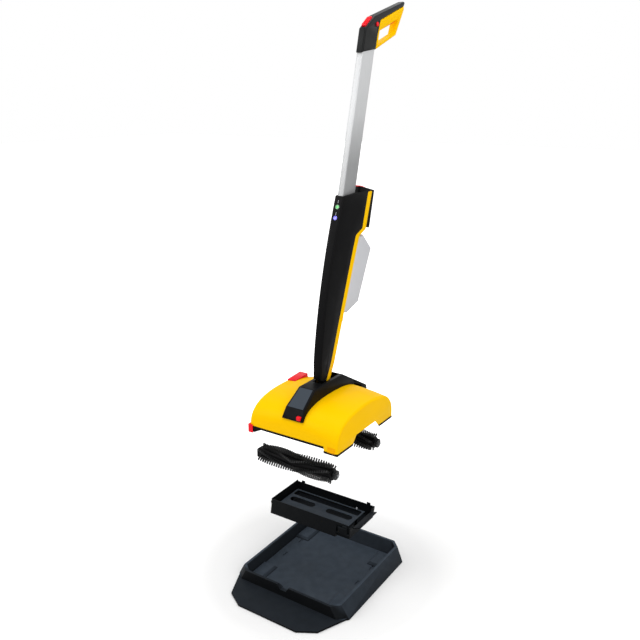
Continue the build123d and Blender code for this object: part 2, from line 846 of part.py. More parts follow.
def pedal_pin():
    """Steel pin of the pedal, held in the lugs of the bridge."""
    half = pedal_knuckle_half + slide_gap + pedal_lug_width
    return rod(pedal_pin_radius, -half, half, pedal_pin_y, pedal_pin_z)


# Rollers and gears

def roller_tufts():
    """Chevron tuft rows of one roller, standing on the core."""
    half = roller_length / 2 - tuft_margin
    root = roller_core_radius - tuft_thickness
    core = rod(roller_core_radius, -half - tuft_margin, half + tuft_margin, 0, 0)
    rows = []
    for row in range(tuft_rows):
        turn = 360 * row / tuft_rows
        blade = Pos((root + roller_radius) / 2, 0) * Rectangle(roller_radius - root, tuft_thickness)
        face = (Plane.YZ * Rot(0, 0, turn) * blade).faces()[0]
        right = Solid.extrude_linear_with_rotation(face, (0, 0, 0), (half, 0, 0), tuft_twist) - core
        rows.append(Pos(roller_shift, 0, 0) * right)
        rows.append(Pos(roller_shift, 0, 0) * mirror(right, about=Plane.YZ))
    return rows


def roller_core():
    """Plastic core of a roller, about its own axis."""
    core = rod(roller_core_radius, roller_left, roller_right, 0, 0)
    return core - rod(journal_radius, cap_left, roller_right + right_journal, 0, 0)


def roller_axle():
    """Steel axle of a roller, with a journal at each end."""
    return rod(journal_radius, cap_left + seat_gap, roller_right + right_journal, 0, 0)


def bearing_cap():
    """Block that carries the left end of a roller."""
    cap = box_between(cap_left, cap_right, -cap_half, cap_half, -cap_half, cap_half)
    cap = along_edges(cap, Axis.X, cap_corner)
    return cap - rod(bush_radius, -head_width / 2, roller_left, 0, 0)


def roller_bush():
    """Bush in the bearing cap."""
    bush = rod(bush_radius, cap_left, cap_right, 0, 0)
    return bush - rod(journal_radius + turn_gap, -head_width / 2, roller_left, 0, 0)


def spur_gear(teeth, first_tooth, bore):
    """Gear about the X axis with one tooth at the angle first_tooth, from +Y towards +Z."""
    pitch = gear_module * teeth / 2
    tip = pitch + tooth_tip * gear_module
    root = pitch - tooth_root * gear_module
    half = (math.pi * gear_module / 2 - gear_play) / 2
    flank = math.tan(math.radians(tooth_flank))
    blank = Circle(root)
    for tooth in range(teeth):
        low = half + (pitch - root + tooth_sink) * flank
        high = half - (tip - pitch) * flank
        profile = outline([(root - tooth_sink, -low), (tip, -high), (tip, high), (root - tooth_sink, low)])
        blank += Rot(0, 0, first_tooth + 360 * tooth / teeth) * profile
    blank -= Circle(bore)
    return across(blank, gear_x, gear_x + gear_width)


def roller_gear():
    """Gear at the right end of a roller, a tooth gap facing straight up."""
    return spur_gear(roller_teeth, 90 + 180 / roller_teeth, journal_radius)


def idler_gear():
    """Gear between roller gear and pinion, a tooth facing straight down."""
    return Pos(0, roller_axis_y, idler_z) * spur_gear(idler_teeth, -90, idler_axle_radius + turn_gap)


def motor_pinion():
    """Pinion with the motor shaft it is pressed on."""
    gap_angle = pinion_direction + 180
    gear = spur_gear(pinion_teeth, gap_angle + 180 / pinion_teeth, motor_shaft_radius / 2)
    shaft = rod(motor_shaft_radius, bulkhead_x - motor_shaft_length, gear_x + gear_width, 0, 0)
    return Pos(0, pinion_y, pinion_z) * (gear + shaft)


def idler_axle():
    """Pin that carries the idler between bulkhead and fork."""
    return rod(idler_axle_radius, bulkhead_x, fork_x + fork_wall, roller_axis_y, idler_z)


def drive_motor():
    """Motor can with a front boss, bored for the shaft."""
    motor = rod(motor_radius, bulkhead_x - motor_length, bulkhead_x, 0, 0)
    motor = chamfer(motor.edges().group_by(Axis.X)[0], motor_shaft_radius)
    motor += rod(motor_boss_radius, bulkhead_x - motor_boss_length, bulkhead_x + motor_boss_length, 0, 0)
    motor -= rod(motor_shaft_radius + turn_gap, bulkhead_x - motor_shaft_length - seat_gap,
                 bulkhead_x + motor_length, 0, 0)
    return Pos(0, pinion_y, pinion_z) * motor


# Chassis

def tunnel_profile():
    """Tunnel over the rear roller, the link to the bay plate and half of that plate."""
    centre = Pos(roller_axis_y, roller_axis_height)
    arch = centre * (Circle(tunnel_outer) - Circle(tunnel_inner))
    arch -= Pos(roller_axis_y, roller_axis_height - tunnel_outer) * Rectangle(
        3 * tunnel_outer, 2 * tunnel_outer)
    mouth = tunnel_mouth - roller_axis_height
    arch -= Pos(roller_axis_y - tunnel_outer, tunnel_mouth - tunnel_outer) * Rectangle(
        2 * tunnel_outer, 2 * tunnel_outer)
    skirt_low = skirt_relief - trim_thickness
    skirt_mid = roller_axis_y + (tunnel_inner + tunnel_outer) / 2
    arch += Pos(skirt_mid, (skirt_low + tunnel_mouth) / 2) * Rectangle(tunnel_wall, tunnel_mouth - skirt_low)
    arch -= centre * Circle(tunnel_inner)
    inner_y = roller_axis_y - math.sqrt(tunnel_inner ** 2 - mouth ** 2)
    outer_y = roller_axis_y - math.sqrt(tunnel_outer ** 2 - mouth ** 2)
    plate_top = plate_height + tunnel_wall
    link = outline([
        (0, plate_height), (plate_half, plate_height), (outer_y, tunnel_mouth), (inner_y, tunnel_mouth),
        (inner_y, tunnel_mouth + tunnel_wall), (plate_half + tunnel_wall / 2, plate_top), (0, plate_top)])
    return arch + link


def journal_slot(x0, x1):
    """Open slot through which a roller journal rises to its seat."""
    radius = journal_radius + slide_gap
    slot = box_between(x0, x1, roller_axis_y - radius, roller_axis_y + radius, -head_depth,
                       roller_axis_height)
    return slot + rod(radius, x0, x1, roller_axis_y, roller_axis_height)


def gear_walls():
    """Bulkhead, fork and the strip that joins them, for the rear roller."""
    low = skirt_relief - trim_thickness
    outer = roller_axis_y + tunnel_outer
    bulkhead = outline([
        (bulkhead_inner, low), (bulkhead_inner, tunnel_mouth + tunnel_wall),
        (motor_mount_inner, plate_height), (motor_mount_inner, motor_mount_top),
        (motor_mount_outer, motor_mount_top), (outer, bulkhead_outer_top), (outer, low)])
    fork = outline([
        (bulkhead_inner, low), (bulkhead_inner, plate_height),
        (motor_mount_inner, motor_mount_top - fork_wall), (motor_mount_inner, motor_mount_top),
        (motor_mount_outer, motor_mount_top),
        (outer - fork_wall, bulkhead_outer_top - fork_wall), (outer - fork_wall, low)])
    walls = across(bulkhead, bulkhead_x, bulkhead_x + bulkhead_wall)
    walls += across(fork, fork_x, fork_x + fork_wall)
    walls += box_between(bulkhead_x, fork_x + fork_wall, motor_mount_inner, motor_mount_outer,
                         motor_mount_top - tunnel_wall, motor_mount_top)
    walls -= journal_slot(roller_right, head_width / 2)
    return walls - rod(motor_boss_radius + seat_gap, roller_right, gear_x, pinion_y, pinion_z)


def chassis():
    """Black frame: two roller tunnels, the tank bay, gear walls and hinge towers."""
    left = -head_width / 2 + cover_wall + chassis_end_gap
    frame = across(tunnel_profile(), left, bulkhead_x + bulkhead_wall) + gear_walls() - idler_axle()
    frame += flipped(frame)
    for side in (-1, 1):
        frame += box_between(side * tower_half, side * (tower_half + tower_wall),
                             hinge_y - tower_depth / 2, hinge_y + tower_depth / 2, plate_height,
                             hinge_height + tower_head)
    frame -= rod(hinge_pin_radius, -head_width, head_width, hinge_y, hinge_height)
    for x, y in cover_bosses():
        frame -= post(screw_radius + seat_gap, x, y, 0, 2 * plate_height)
    for x in nozzle_places():
        frame -= post(nozzle_radius + seat_gap, x, spray_y, roller_axis_height, spray_height)
    return frame


def hinge_pin():
    """Steel pin on which the column tilts."""
    half = tower_half + tower_wall
    return rod(hinge_pin_radius, -half, half, hinge_y, hinge_height)


def cover_screws():
    """Four screws from the bay plate up into the cover's bosses."""
    screws = []
    for x, y in cover_bosses():
        shank = post(screw_radius, x, y, plate_height - seat_gap,
                     plate_height + tunnel_wall + screw_depth - screw_end_gap)
        head = post(screw_head_radius, x, y, plate_height - screw_head, plate_height)
        screws.append(shank + head)
    return Compound(screws)


def nozzle_places():
    """Places of the spray nozzles along X."""
    first = -nozzle_pitch * (nozzle_count - 1) / 2
    return [first + nozzle_pitch * number for number in range(nozzle_count)]


def spray_bar():
    """Water bar over the front tunnel with nozzles that reach through its roof."""
    bar = rod(spray_radius, -spray_half, spray_half, spray_y, spray_height)
    offset_y = abs(spray_y) - roller_axis_y
    tip = roller_axis_height + math.sqrt(tunnel_outer ** 2 - offset_y ** 2) - tunnel_wall
    for x in nozzle_places():
        bar += post(nozzle_radius, x, spray_y, tip, spray_height)
    return bar


def feed_hose():
    """Hose from the column's hinge down to the spray bar."""
    start = (0, spray_y + spray_radius, spray_height)
    path = FilletPolyline((0, spray_y + spray_radius, spray_height), (0, hose_low_y, spray_height),
                          (0, hose_low_y, hose_rise), (0, hose_end_y, hose_rise), radius=hose_bend)
    return sweep(Pos(*start) * Rot(90, 0, 0) * Circle(hose_radius), path=path)


# Tank

def tank_form(grow, low, high):
    """Drafted tank form between two heights, its sides moved by grow."""
    foot = Rectangle(tank_length - 2 * tank_draft + 2 * grow, tank_depth - 2 * tank_draft + 2 * grow)
    top = Rectangle(tank_length + 2 * grow, tank_depth + 2 * grow)
    return loft([Pos(0, 0, low) * foot, Pos(0, 0, high) * top], ruled=True)


def debris_tank():
    """Open tray with a tall front wall, a pouring lip on the right and two rear ears."""
    tank = tank_form(0, 0, tank_height)
    front = -tank_depth / 2
    wall_half = tank_length / 2 - tank_draft
    tank += box_between(-wall_half, wall_half, front, front + tank_wall, tank_height - tank_wall,
                        tank_front_height)
    flare = outline([(front + tank_draft + tank_wall, 0), (front - tank_flare, 0),
                     (front - tank_flare, tank_wall), (front, tank_flare_height)])
    tank += across(flare, -wall_half, clip_x0 - 2 * clip_lug_width)
    end = tank_length / 2
    tank += box_between(-end, tank_wall - end, front + tank_draft, -front - tank_draft,
                        tank_height - tank_wall, tank_left_height)
    tank -= tank_form(-tank_wall, tank_wall, tank_height)
    tank -= box_between(end - 3 * tank_wall, end + tank_wall, -tank_lip_half, tank_lip_half,
                        tank_lip_height + tank_lip_wall, tank_front_height)
    lip = outline([
        (end - tank_draft, tank_lip_height), (end + tank_lip_reach, tank_lip_height + tank_lip_rise),
        (end + tank_lip_reach, tank_lip_height + tank_lip_rise + tank_lip_wall),
        (end - tank_draft, tank_lip_height + tank_lip_wall)])
    tank += extrude(Plane.XZ.offset(-tank_lip_half) * lip, amount=2 * tank_lip_half)
    for side in (-1, 1):
        ear_x = side * (tank_length / 2 - ear_inset)
        tank += box_between(ear_x - ear_width / 2, ear_x + ear_width / 2, -front - tank_wall, -front,
                            tank_height - tank_wall, tank_height + ear_height)
    eye_y = front - clip_eye_radius - slide_gap
    for x0 in (clip_x0 - slide_gap - clip_lug_width, clip_x1 + slide_gap):
        x1 = x0 + clip_lug_width
        tank += rod(clip_eye_radius, x0, x1, eye_y, clip_bottom)
        tank += box_between(x0, x1, eye_y, front + tank_wall, clip_bottom - clip_eye_radius,
                            clip_bottom + clip_eye_radius)
    tank -= tank_form(-tank_wall, tank_wall, tank_height)
    return tank - rod(clip_pin_radius + turn_gap, clip_x0 - 2 * clip_lug_width, clip_x1 + 2 * clip_lug_width,
                      eye_y, clip_bottom)


def tank_deck():
    """Raised plate in the tank with two long slots and a trough, standing on four legs."""
    front = -tank_depth / 2 + tank_draft + tank_wall + deck_front_gap
    under = deck_height - deck_wall
    deck = box_between(-deck_half, deck_half, front, deck_rear_y, under, deck_height)
    trough_half = deck_half - deck_trough_margin
    trough_rear = deck_rear_y - deck_bar
    trough = Rectangle(2 * trough_half, deck_trough)
    trough = extrude(fillet(trough.vertices(), deck_bar), amount=2 * deck_wall, both=True)
    deck -= Pos(0, trough_rear - deck_trough / 2, deck_height) * trough
    slot_length = deck_half - deck_slot_outer - deck_slot_inner
    slot = extrude(SlotOverall(slot_length, deck_slot_width), amount=2 * deck_wall, both=True)
    for side in (-1, 1):
        slot_x = side * (deck_slot_inner + slot_length / 2)
        deck -= Pos(slot_x, deck_rear_y - deck_slot_setback, deck_height) * slot
        leg_x = side * (deck_half - 2 * deck_leg_radius)
        for y in (front + 2 * deck_leg_radius, trough_rear - deck_trough - 2 * deck_leg_radius):
            deck += post(deck_leg_radius, leg_x, y, tank_wall, under)
    return deck


def tank_clip():
    """Hinged clip at the front right of the tank, with trunnions that snap into the tank's lugs."""
    front = -tank_depth / 2 - slide_gap
    eye_y = front - clip_eye_radius
    clip = box_between(clip_x0, clip_x1, front - clip_thickness, front, clip_bottom, clip_shoulder)
    clip = chamfer(clip.edges().group_by(Axis.Y)[0], clip_thickness / 3)
    hook_x = clip_x1 - clip_hook_width
    clip += box_between(hook_x, clip_x1, front - clip_hook_thickness, front, clip_bottom, clip_top)
    clip += box_between(hook_x, clip_x1, front - clip_hook_thickness - clip_hook, front,
                        clip_top - clip_hook_thickness, clip_top)
    clip += rod(clip_eye_radius, clip_x0, clip_x1, eye_y, clip_bottom)
    reach = slide_gap + clip_lug_width
    return clip + rod(clip_pin_radius, clip_x0 - reach, clip_x1 + reach, eye_y, clip_bottom)


# Column, in the handle's own frame: y rearward, z along the handle, hinge at the origin

def column_half(v, w):
    """Half width of the column at a place in its side view."""
    across_depth = (v - column_front_top[0]) / (column_back_top[0] - column_front_top[0])
    top_half = column_top_front_half + (column_top_rear_half - column_top_front_half) * across_depth
    return column_foot_half + (top_half - column_foot_half) * w / column_back_top[1]


def column_mould(inset):
    """Drafted block that gives the column its width, narrow at the foot and the front."""
    front = column_front_belly[0] - column_trim_depth
    rear = bottle_rear_top[0] + column_trim_depth
    ends = []
    for height in (0, battery_foot + battery_length + column_trim_depth):
        half_front = column_half(front, height) - inset
        half_rear = column_half(rear, height) - inset
        face = outline([(-half_front, front), (half_front, front), (half_rear, rear), (-half_rear, rear)])
        ends.append(Pos(0, 0, height) * face)
    return loft(ends, ruled=True)


def column_back(depth):
    """Rear outline of the column from top to bottom, moved rearward by depth."""
    points = [column_back_top, column_shelf_rear, column_shelf_front, column_back_mid, column_back_knee,
              column_back_low]
    return [(v + depth, w) for v, w in points]


def column_face(depth):
    """Side face of the column out to the given depth behind the seam of shell and trim."""
    back = column_back(depth)
    edges = [Line(column_front_low, column_front_knee),
             ThreePointArc(column_front_knee, column_front_belly, column_front_top),
             Polyline(column_front_top, *back, column_front_low)]
    face = make_face(edges)
    for corner in back[1:3]:
        vertex = face.vertices().sort_by_distance((*corner, 0))[0]
        face = fillet(vertex, shelf_corner)
    return face


def column_cavity():
    """Space inside shell and trim."""
    inside = offset(column_face(column_trim_depth), amount=-column_wall, kind=Kind.INTERSECTION)
    block = across(inside, -column_back_top[1], column_back_top[1])
    return block & column_mould(column_wall)


def column_block(face):
    """A side face carried across the column's full width."""
    return across(face, -column_back_top[1], column_back_top[1]) & column_mould(0)


def battery_bay():
    """Space for the battery between the column's side walls, open upwards and to the rear."""
    half = battery_half + slide_gap
    bay = box_between(-half, half, battery_front - slide_gap, 2 * battery_rear, battery_foot - slide_gap,
                      2 * battery_foot)
    return bay & column_mould(column_wall)


def tube_section(grow):
    """Outline of the upright tube seen along it, grown on every side."""
    outer = RectangleRounded(tube_width + 2 * grow, tube_depth + 2 * grow, tube_corner + grow)
    return Pos(0, tube_centre) * outer


def column_lights():
    """Places of the two status lights along the handle."""
    return {"green": light_green_height, "blue": light_blue_height}


def front_at(w):
    """Front face of the column at height w, on its long arc."""
    arc = ThreePointArc(column_front_knee, column_front_belly, column_front_top)
    cut = Line((2 * column_front_belly[0], w), (0, w))
    return (arc & cut).X


def column_shell():
    """Black front shell of the column with battery bay walls, tube hole and light holes."""
    block = column_block(column_face(0))
    fronts = block.faces().sort_by(Axis.Y)[:2]
    rims = [edge for face in fronts for edge in face.edges().sort_by(SortBy.LENGTH)[-2:]]
    shell = fillet(rims, column_edge) - column_cavity()
    wall_rear = battery_front - slide_gap
    divider = box_between(-battery_half, battery_half, wall_rear - column_wall, wall_rear,
                          column_shelf_front[1], column_back_top[1])
    floor_top = battery_foot - slide_gap
    floor = box_between(-column_top_rear_half, column_top_rear_half, column_front_belly[0],
                        column_shelf_rear[0], floor_top - column_wall, floor_top)
    shell += block & column_mould(column_wall / 2) & (divider + floor)
    shell -= battery_bay()
    shell -= extrude(Pos(0, 0, tube_bottom) * tube_section(tube_fit), amount=tube_top - tube_bottom)
    shell += extrude(Pos(0, 0, floor_top) * tube_section(-tube_wall - tube_fit), amount=tube_plug)
    shell -= hinge_arm(tube_fit)
    for height in column_lights().values():
        shell -= light_lens(height, turn_gap)
    return shell - bolt_rod(turn_gap)


def column_trim():
    """Yellow back of the column, stepped round battery and bottle."""
    trim = column_block(column_face(column_trim_depth)) - column_block(column_face(0)) - column_cavity()
    return trim - battery_bay() - hinge_arm(tube_fit)


def light_lens(height, grow):
    """Round lens in the front face of the column."""
    front = front_at(height)
    lens = Cylinder(light_radius + grow, light_depth + light_proud)
    middle = front - light_proud + (light_depth + light_proud) / 2
    return Pos(0, middle, height) * Rot(90, 0, 0) * lens


def hinge_arm(grow):
    """Arm from the hinge eye up into the column, grown on every side."""
    rise = column_front_low[1] + foot_eye_radius
    arm = outline([
        (-foot_eye_radius + foot_arm_gap, -foot_eye_radius / 2),
        (foot_eye_radius - 2 * foot_arm_gap, foot_eye_radius / 3),
        (foot_block_rear, rise), (foot_block_rear, foot_block_top), (foot_block_front, foot_block_top),
        (foot_block_front, rise)])
    if grow:
        arm = offset(arm, amount=grow, kind=Kind.INTERSECTION)
    return across(arm, -foot_block_half - grow, foot_block_half + grow)


def hinge_foot():
    """Foot of the column with the hinge eye."""
    foot = hinge_arm(0)
    eye_half = tower_half - slide_gap
    foot += rod(foot_eye_radius, -eye_half, eye_half, 0, 0)
    foot -= rod(hinge_pin_radius + turn_gap, -tube_depth, tube_depth, 0, 0)
    return foot - bolt_rod(turn_gap)


def bolt_rod(grow):
    """Round bar across the column at the bolt's place."""
    return rod(column_bolt_radius + grow, -tube_depth, tube_depth, column_bolt_v, column_bolt_height)


def column_bolt():
    """Bolt through shell and hinge foot, flush with the shell."""
    return bolt_rod(0) & column_mould(0)


def upright_tube():
    """Aluminium tube from the column to the handle."""
    tube = extrude(Pos(0, 0, tube_bottom) * tube_section(0), amount=tube_top - tube_bottom)
    bore = extrude(Pos(0, 0, tube_bottom) * tube_section(-tube_wall), amount=tube_top - tube_bottom)
    return tube - bore


# Battery, bottle, pump and board

def battery_pack():
    """Battery that slides up out of the bay, grooved in front for the terminal block."""
    top = battery_foot + battery_length
    pack = box_between(-battery_half, battery_half, battery_front, battery_rear, battery_foot, top)
    rear_edges = pack.faces().sort_by(Axis.Y)[-1].edges()
    pack = fillet(rear_edges, battery_corner)
    pack &= column_mould(column_wall + slide_gap)
    rail = battery_rail_half
    pack -= box_between(-rail, rail, 0, battery_front + battery_rail_depth, 0, 2 * top)
    half = battery_button_half + slide_gap
    pocket_floor = top - battery_button_sink - battery_button_travel - slide_gap
    return pack - box_between(-half, half, battery_button_front - slide_gap, battery_button_rear + slide_gap,
                              pocket_floor, 2 * top)


def battery_button():
    """Red release button in the battery's top."""
    top = battery_foot + battery_length
    button = box_between(-battery_button_half, battery_button_half, battery_button_front, battery_button_rear,
                         top - battery_button_sink, top + battery_button_proud)
    return chamfer(button.edges().group_by(Axis.Z)[-1], battery_button_proud / 3)


def terminal_block():
    """Contact block on the wall in front of the battery."""
    base = battery_front - slide_gap
    half = battery_rail_half - slide_gap
    return box_between(-half, half, base, base + terminal_depth, terminal_height,
                       terminal_height + terminal_length)


def bottle_front(w):
    """Front face of the bottle at height w, just behind the trim."""
    low, high = column_back_knee, column_back_mid
    share = (w - low[1]) / (high[1] - low[1])
    return low[0] + (high[0] - low[0]) * share + column_trim_depth + bottle_gap


def bottle_face():
    """Side face of the water bottle."""
    shelf = column_trim_depth
    under = 3 * bottle_gap
    foot_front = bottle_front(bottle_foot)
    return outline([
        (foot_front, bottle_foot), (foot_front + bottle_foot_depth, bottle_foot),
        bottle_rear_low, bottle_rear_top, bottle_crown,
        (column_shelf_front[0] + shelf + under, column_shelf_front[1] - under),
        (bottle_front(column_back_mid[1]) + bottle_gap, column_back_mid[1])])


def bottle_form(inset):
    """Filled form of the bottle, drawn in by inset on every side."""
    face = offset(bottle_face(), amount=-inset, kind=Kind.INTERSECTION) if inset else bottle_face()
    block = across(face, -battery_rear, battery_rear) & column_mould(bottle_gap + inset)
    flanks = block.faces().sort_by(Axis.X)
    return fillet(flanks[0].edges() + flanks[-1].edges(), bottle_corner - inset)


def water_bottle():
    """Translucent bottle that carries on the column's flanks, with a neck at its foot."""
    bottle = bottle_form(0)
    bottle += post(cap_neck_radius, 0, cap_v, bottle_foot - cap_height + cap_roof + seat_gap,
                   bottle_foot + bottle_wall)
    bottle -= bottle_form(bottle_wall)
    return bottle - post(cap_neck_radius - bottle_wall, 0, cap_v, 0, bottle_foot + 2 * bottle_wall)


def bottle_cap():
    """Screw cap with the outlet valve."""
    top = bottle_foot - seat_gap
    cap = post(cap_radius, 0, cap_v, top - cap_height, top)
    grip = Pos(cap_radius, 0, 0) * Cylinder(cap_grip_radius, cap_height)
    for rib in range(cap_grips):
        cap -= Pos(0, cap_v, top - cap_height / 2) * Rot(0, 0, 360 * rib / cap_grips) * grip
    return cap - post(cap_neck_radius + turn_gap, 0, cap_v, top - cap_height + cap_roof, bottle_foot)


def pump():
    """Small water pump inside the column."""
    body = post(pump_radius, 0, tube_centre, pump_height, pump_height + pump_length)
    body = chamfer(body.edges(), pump_radius / 5)
    return body + post(hose_radius, 0, tube_centre, pump_height - pump_radius, pump_height + pump_radius)


def control_board():
    """Circuit board behind the status lights."""
    return box_between(-board_half, board_half, board_v, board_v + board_thickness, board_foot,
                       board_foot + board_length)


# D-handle

def grip_rounded(face, radius):
    """Side face carried across the grip, its rim edges rounded."""
    body = across(face, -grip_half, grip_half)
    return fillet(body.faces().filter_by(Axis.X).edges(), radius)


def tube_socket():
    """Space for the upper end of the tube."""
    return extrude(Pos(0, 0, tube_bottom) * tube_section(tube_fit), amount=tube_top + tube_fit - tube_bottom)


def handle_shell():
    """Black upper shell: socket for the tube, bend and top of the grip."""
    side = outline([
        (socket_front, socket_front_low), (socket_front, bend_low), bend_top, grip_tip, grip_tip_under,
        grip_under_front, (socket_rear, bend_low), (socket_rear, socket_rear_low)])
    side = fillet(side.vertices().sort_by_distance((*grip_tip, 0))[0], grip_tip_radius)
    shell = grip_rounded(side, grip_edge)
    shell -= tube_socket()
    shell -= slider_slot()
    return shell - side_button_form(slide_gap, side_button_travel + slide_gap)


def handle_loop():
    """Yellow loop under the shell with the finger gap and the trigger's recess."""
    ring = outline([
        (socket_rear, socket_rear_low), loop_heel, loop_tip, grip_tip_under, grip_under_front,
        (socket_rear, bend_low)])
    loop = grip_rounded(ring, loop_edge)
    gap = outline([gap_front_low, gap_front_top, gap_rear_top, gap_rear_low])
    loop -= across(gap, -2 * grip_half, 2 * grip_half)
    loop -= tube_socket()
    loop -= trigger_bar(slide_gap, 2 * trigger_proud, 2 * trigger_proud, trigger_recess)
    return loop - rod(trigger_pin_radius, -trigger_pin_half, trigger_pin_half, *trigger_pivot())


def grip_frame():
    """Plane along the top of the finger gap: first axis along the grip, second axis into it."""
    rise = Vector(0, gap_rear_top[0] - gap_front_top[0], gap_rear_top[1] - gap_front_top[1])
    return Plane(origin=(0, gap_front_top[0], gap_front_top[1]), x_dir=rise, z_dir=(1, 0, 0))


def trigger_bar(grow, proud_front, proud_rear, inside):
    """Bar along the finger gap, grown at its sides, from its two ends' reach to a depth inside the grip."""
    half = trigger_half + grow
    start = trigger_start - grow
    end = trigger_start + trigger_length + grow
    bar = outline([(start, -proud_front), (end, -proud_rear), (end, inside), (start, inside)])
    return extrude(grip_frame().offset(-half) * bar, amount=2 * half)


def trigger_pivot():
    """Pivot of the trigger as (y, z)."""
    place = grip_frame().from_local_coords(Vector(trigger_start + trigger_inside, trigger_pivot_depth, 0))
    return place.Y, place.Z


def trigger():
    """Red trigger bar under the grip, pivoted at its front end."""
    bar = trigger_bar(0, trigger_proud / 2, trigger_proud, trigger_inside)
    return bar - rod(trigger_pin_radius + turn_gap, -grip_half, grip_half, *trigger_pivot())


def trigger_pin():
    """Pivot pin of the trigger."""
    return rod(trigger_pin_radius, -trigger_pin_half, trigger_pin_half, *trigger_pivot())


def bend_frame():
    """Plane on the sloped front of the bend: first axis up the slope, second axis out of it."""
    slope = Vector(0, bend_top[0] - socket_front, bend_top[1] - bend_low)
    middle = ((bend_top[0] + socket_front) / 2, (bend_top[1] + bend_low) / 2)
    return Plane(origin=(0, *middle), x_dir=slope, z_dir=(1, 0, 0))


def bend_box(start, end, low, high, half):
    """Box on the bend: along the slope, out of it, and to both sides."""
    face = outline([(start, low), (end, low), (end, high), (start, high)])
    return extrude(bend_frame().offset(-half) * face, amount=2 * half)


def slider_slot():
    """Recess for the thumb slider and its travel."""
    end = slider_length / 2
    return bend_box(-end - slider_travel - slide_gap, end + slide_gap, -slider_inside - slide_gap,
                    2 * slider_proud, slider_half + slide_gap)


def thumb_slider():
    """Red ribbed slider on the bend, at the top of its travel."""
    end = slider_length / 2
    slider = bend_box(-end, end, -slider_inside, slider_proud, slider_half)
    pitch = slider_length / (slider_ribs + 1)
    for rib in range(slider_ribs):
        middle = -end + pitch * (rib + 1)
        slider += bend_box(middle - slider_rib_width / 2, middle + slider_rib_width / 2, 0,
                           slider_proud + slider_rib_height, slider_half)
    return slider


def side_button_form(grow, deeper):
    """Round button in the right side of the shell."""
    return rod(side_button_radius + grow, grip_half - side_button_inside - deeper,
               grip_half + side_button_proud, side_button_v, side_button_height)


def side_button():
    """Red round button."""
    button = side_button_form(0, 0)
    return chamfer(button.edges().group_by(Axis.X)[-1], side_button_proud / 3)


# Every node with its place in the drawn-apart machine

def placed(place, pieces):
    """Named pieces set in place together."""
    return {name: place * shape for name, shape in pieces.items()}


def on_both_sides(name, shape, place):
    """Rear piece and its front twin."""
    return {f"rear_{name}": place * shape, f"front_{name}": place * flipped(shape)}


def roller_pieces(name, shape):
    """A piece made about the roller axis, placed on the front and the rear roller."""
    rear = Pos(0, roller_axis_y, roller_axis_height) * shape
    return on_both_sides(name, rear, roller_at)


def all_nodes():
    """Node names and solids."""
    nodes = {"station_tray": station_tray(), "station_feet": station_feet()}
    tank_pieces = {"debris_tank": debris_tank(), "tank_deck": tank_deck(), "tank_clip": tank_clip()}
    nodes |= placed(tank_at, tank_pieces)
    nodes |= roller_pieces("bearing_cap", bearing_cap())
    nodes |= roller_pieces("bush", roller_bush())
    nodes |= roller_pieces("roller_axle", roller_axle())
    nodes |= roller_pieces("roller_core", roller_core())
    nodes |= roller_pieces("roller_tufts", Compound(roller_tufts()))
    nodes |= roller_pieces("roller_gear", roller_gear())
    nodes |= placed(head_at, {
        "head_cover": head_cover(), "edge_trim": edge_trim(), "chassis": chassis(),
        "cover_screws": cover_screws(), "spray_bar": spray_bar(), "feed_hose": feed_hose(),
        "hinge_pin": hinge_pin(), "bridge_cover": bridge_cover(), "foot_pedal": foot_pedal(),
        "pedal_pin": pedal_pin(), "release_button": release_button(), "rocker_lever": rocker_lever(),
        "rocker_pin": rocker_pin()})
    nodes |= on_both_sides("latch", roller_latch(1), head_at)
    nodes |= on_both_sides("idler_gear", idler_gear(), head_at)
    nodes["idler_axles"] = head_at * Compound([idler_axle(), flipped(idler_axle())])
    nodes |= on_both_sides("motor_pinion", motor_pinion(), head_at)
    nodes |= on_both_sides("drive_motor", drive_motor(), head_at)
    nodes |= placed(handle_at, {
        "hinge_foot": hinge_foot(), "column_bolt": column_bolt(), "column_shell": column_shell(),
        "column_trim": column_trim(), "upright_tube": upright_tube(), "battery_pack": battery_pack(),
        "battery_button": battery_button(), "terminal_block": terminal_block(),
        "water_bottle": water_bottle(), "bottle_cap": bottle_cap(), "pump": pump(),
        "control_board": control_board(), "handle_shell": handle_shell(), "handle_loop": handle_loop(),
        "trigger": trigger(), "trigger_pin": trigger_pin(), "thumb_slider": thumb_slider(),
        "side_button": side_button()})
    for colour, height in column_lights().items():
        nodes[f"{colour}_light"] = handle_at * light_lens(height, 0)
    return nodes


os.makedirs("parts", exist_ok=True)
for name, shape in all_nodes().items():
    export_step(shape, f"parts/{name}.step")
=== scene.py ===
import json
import math

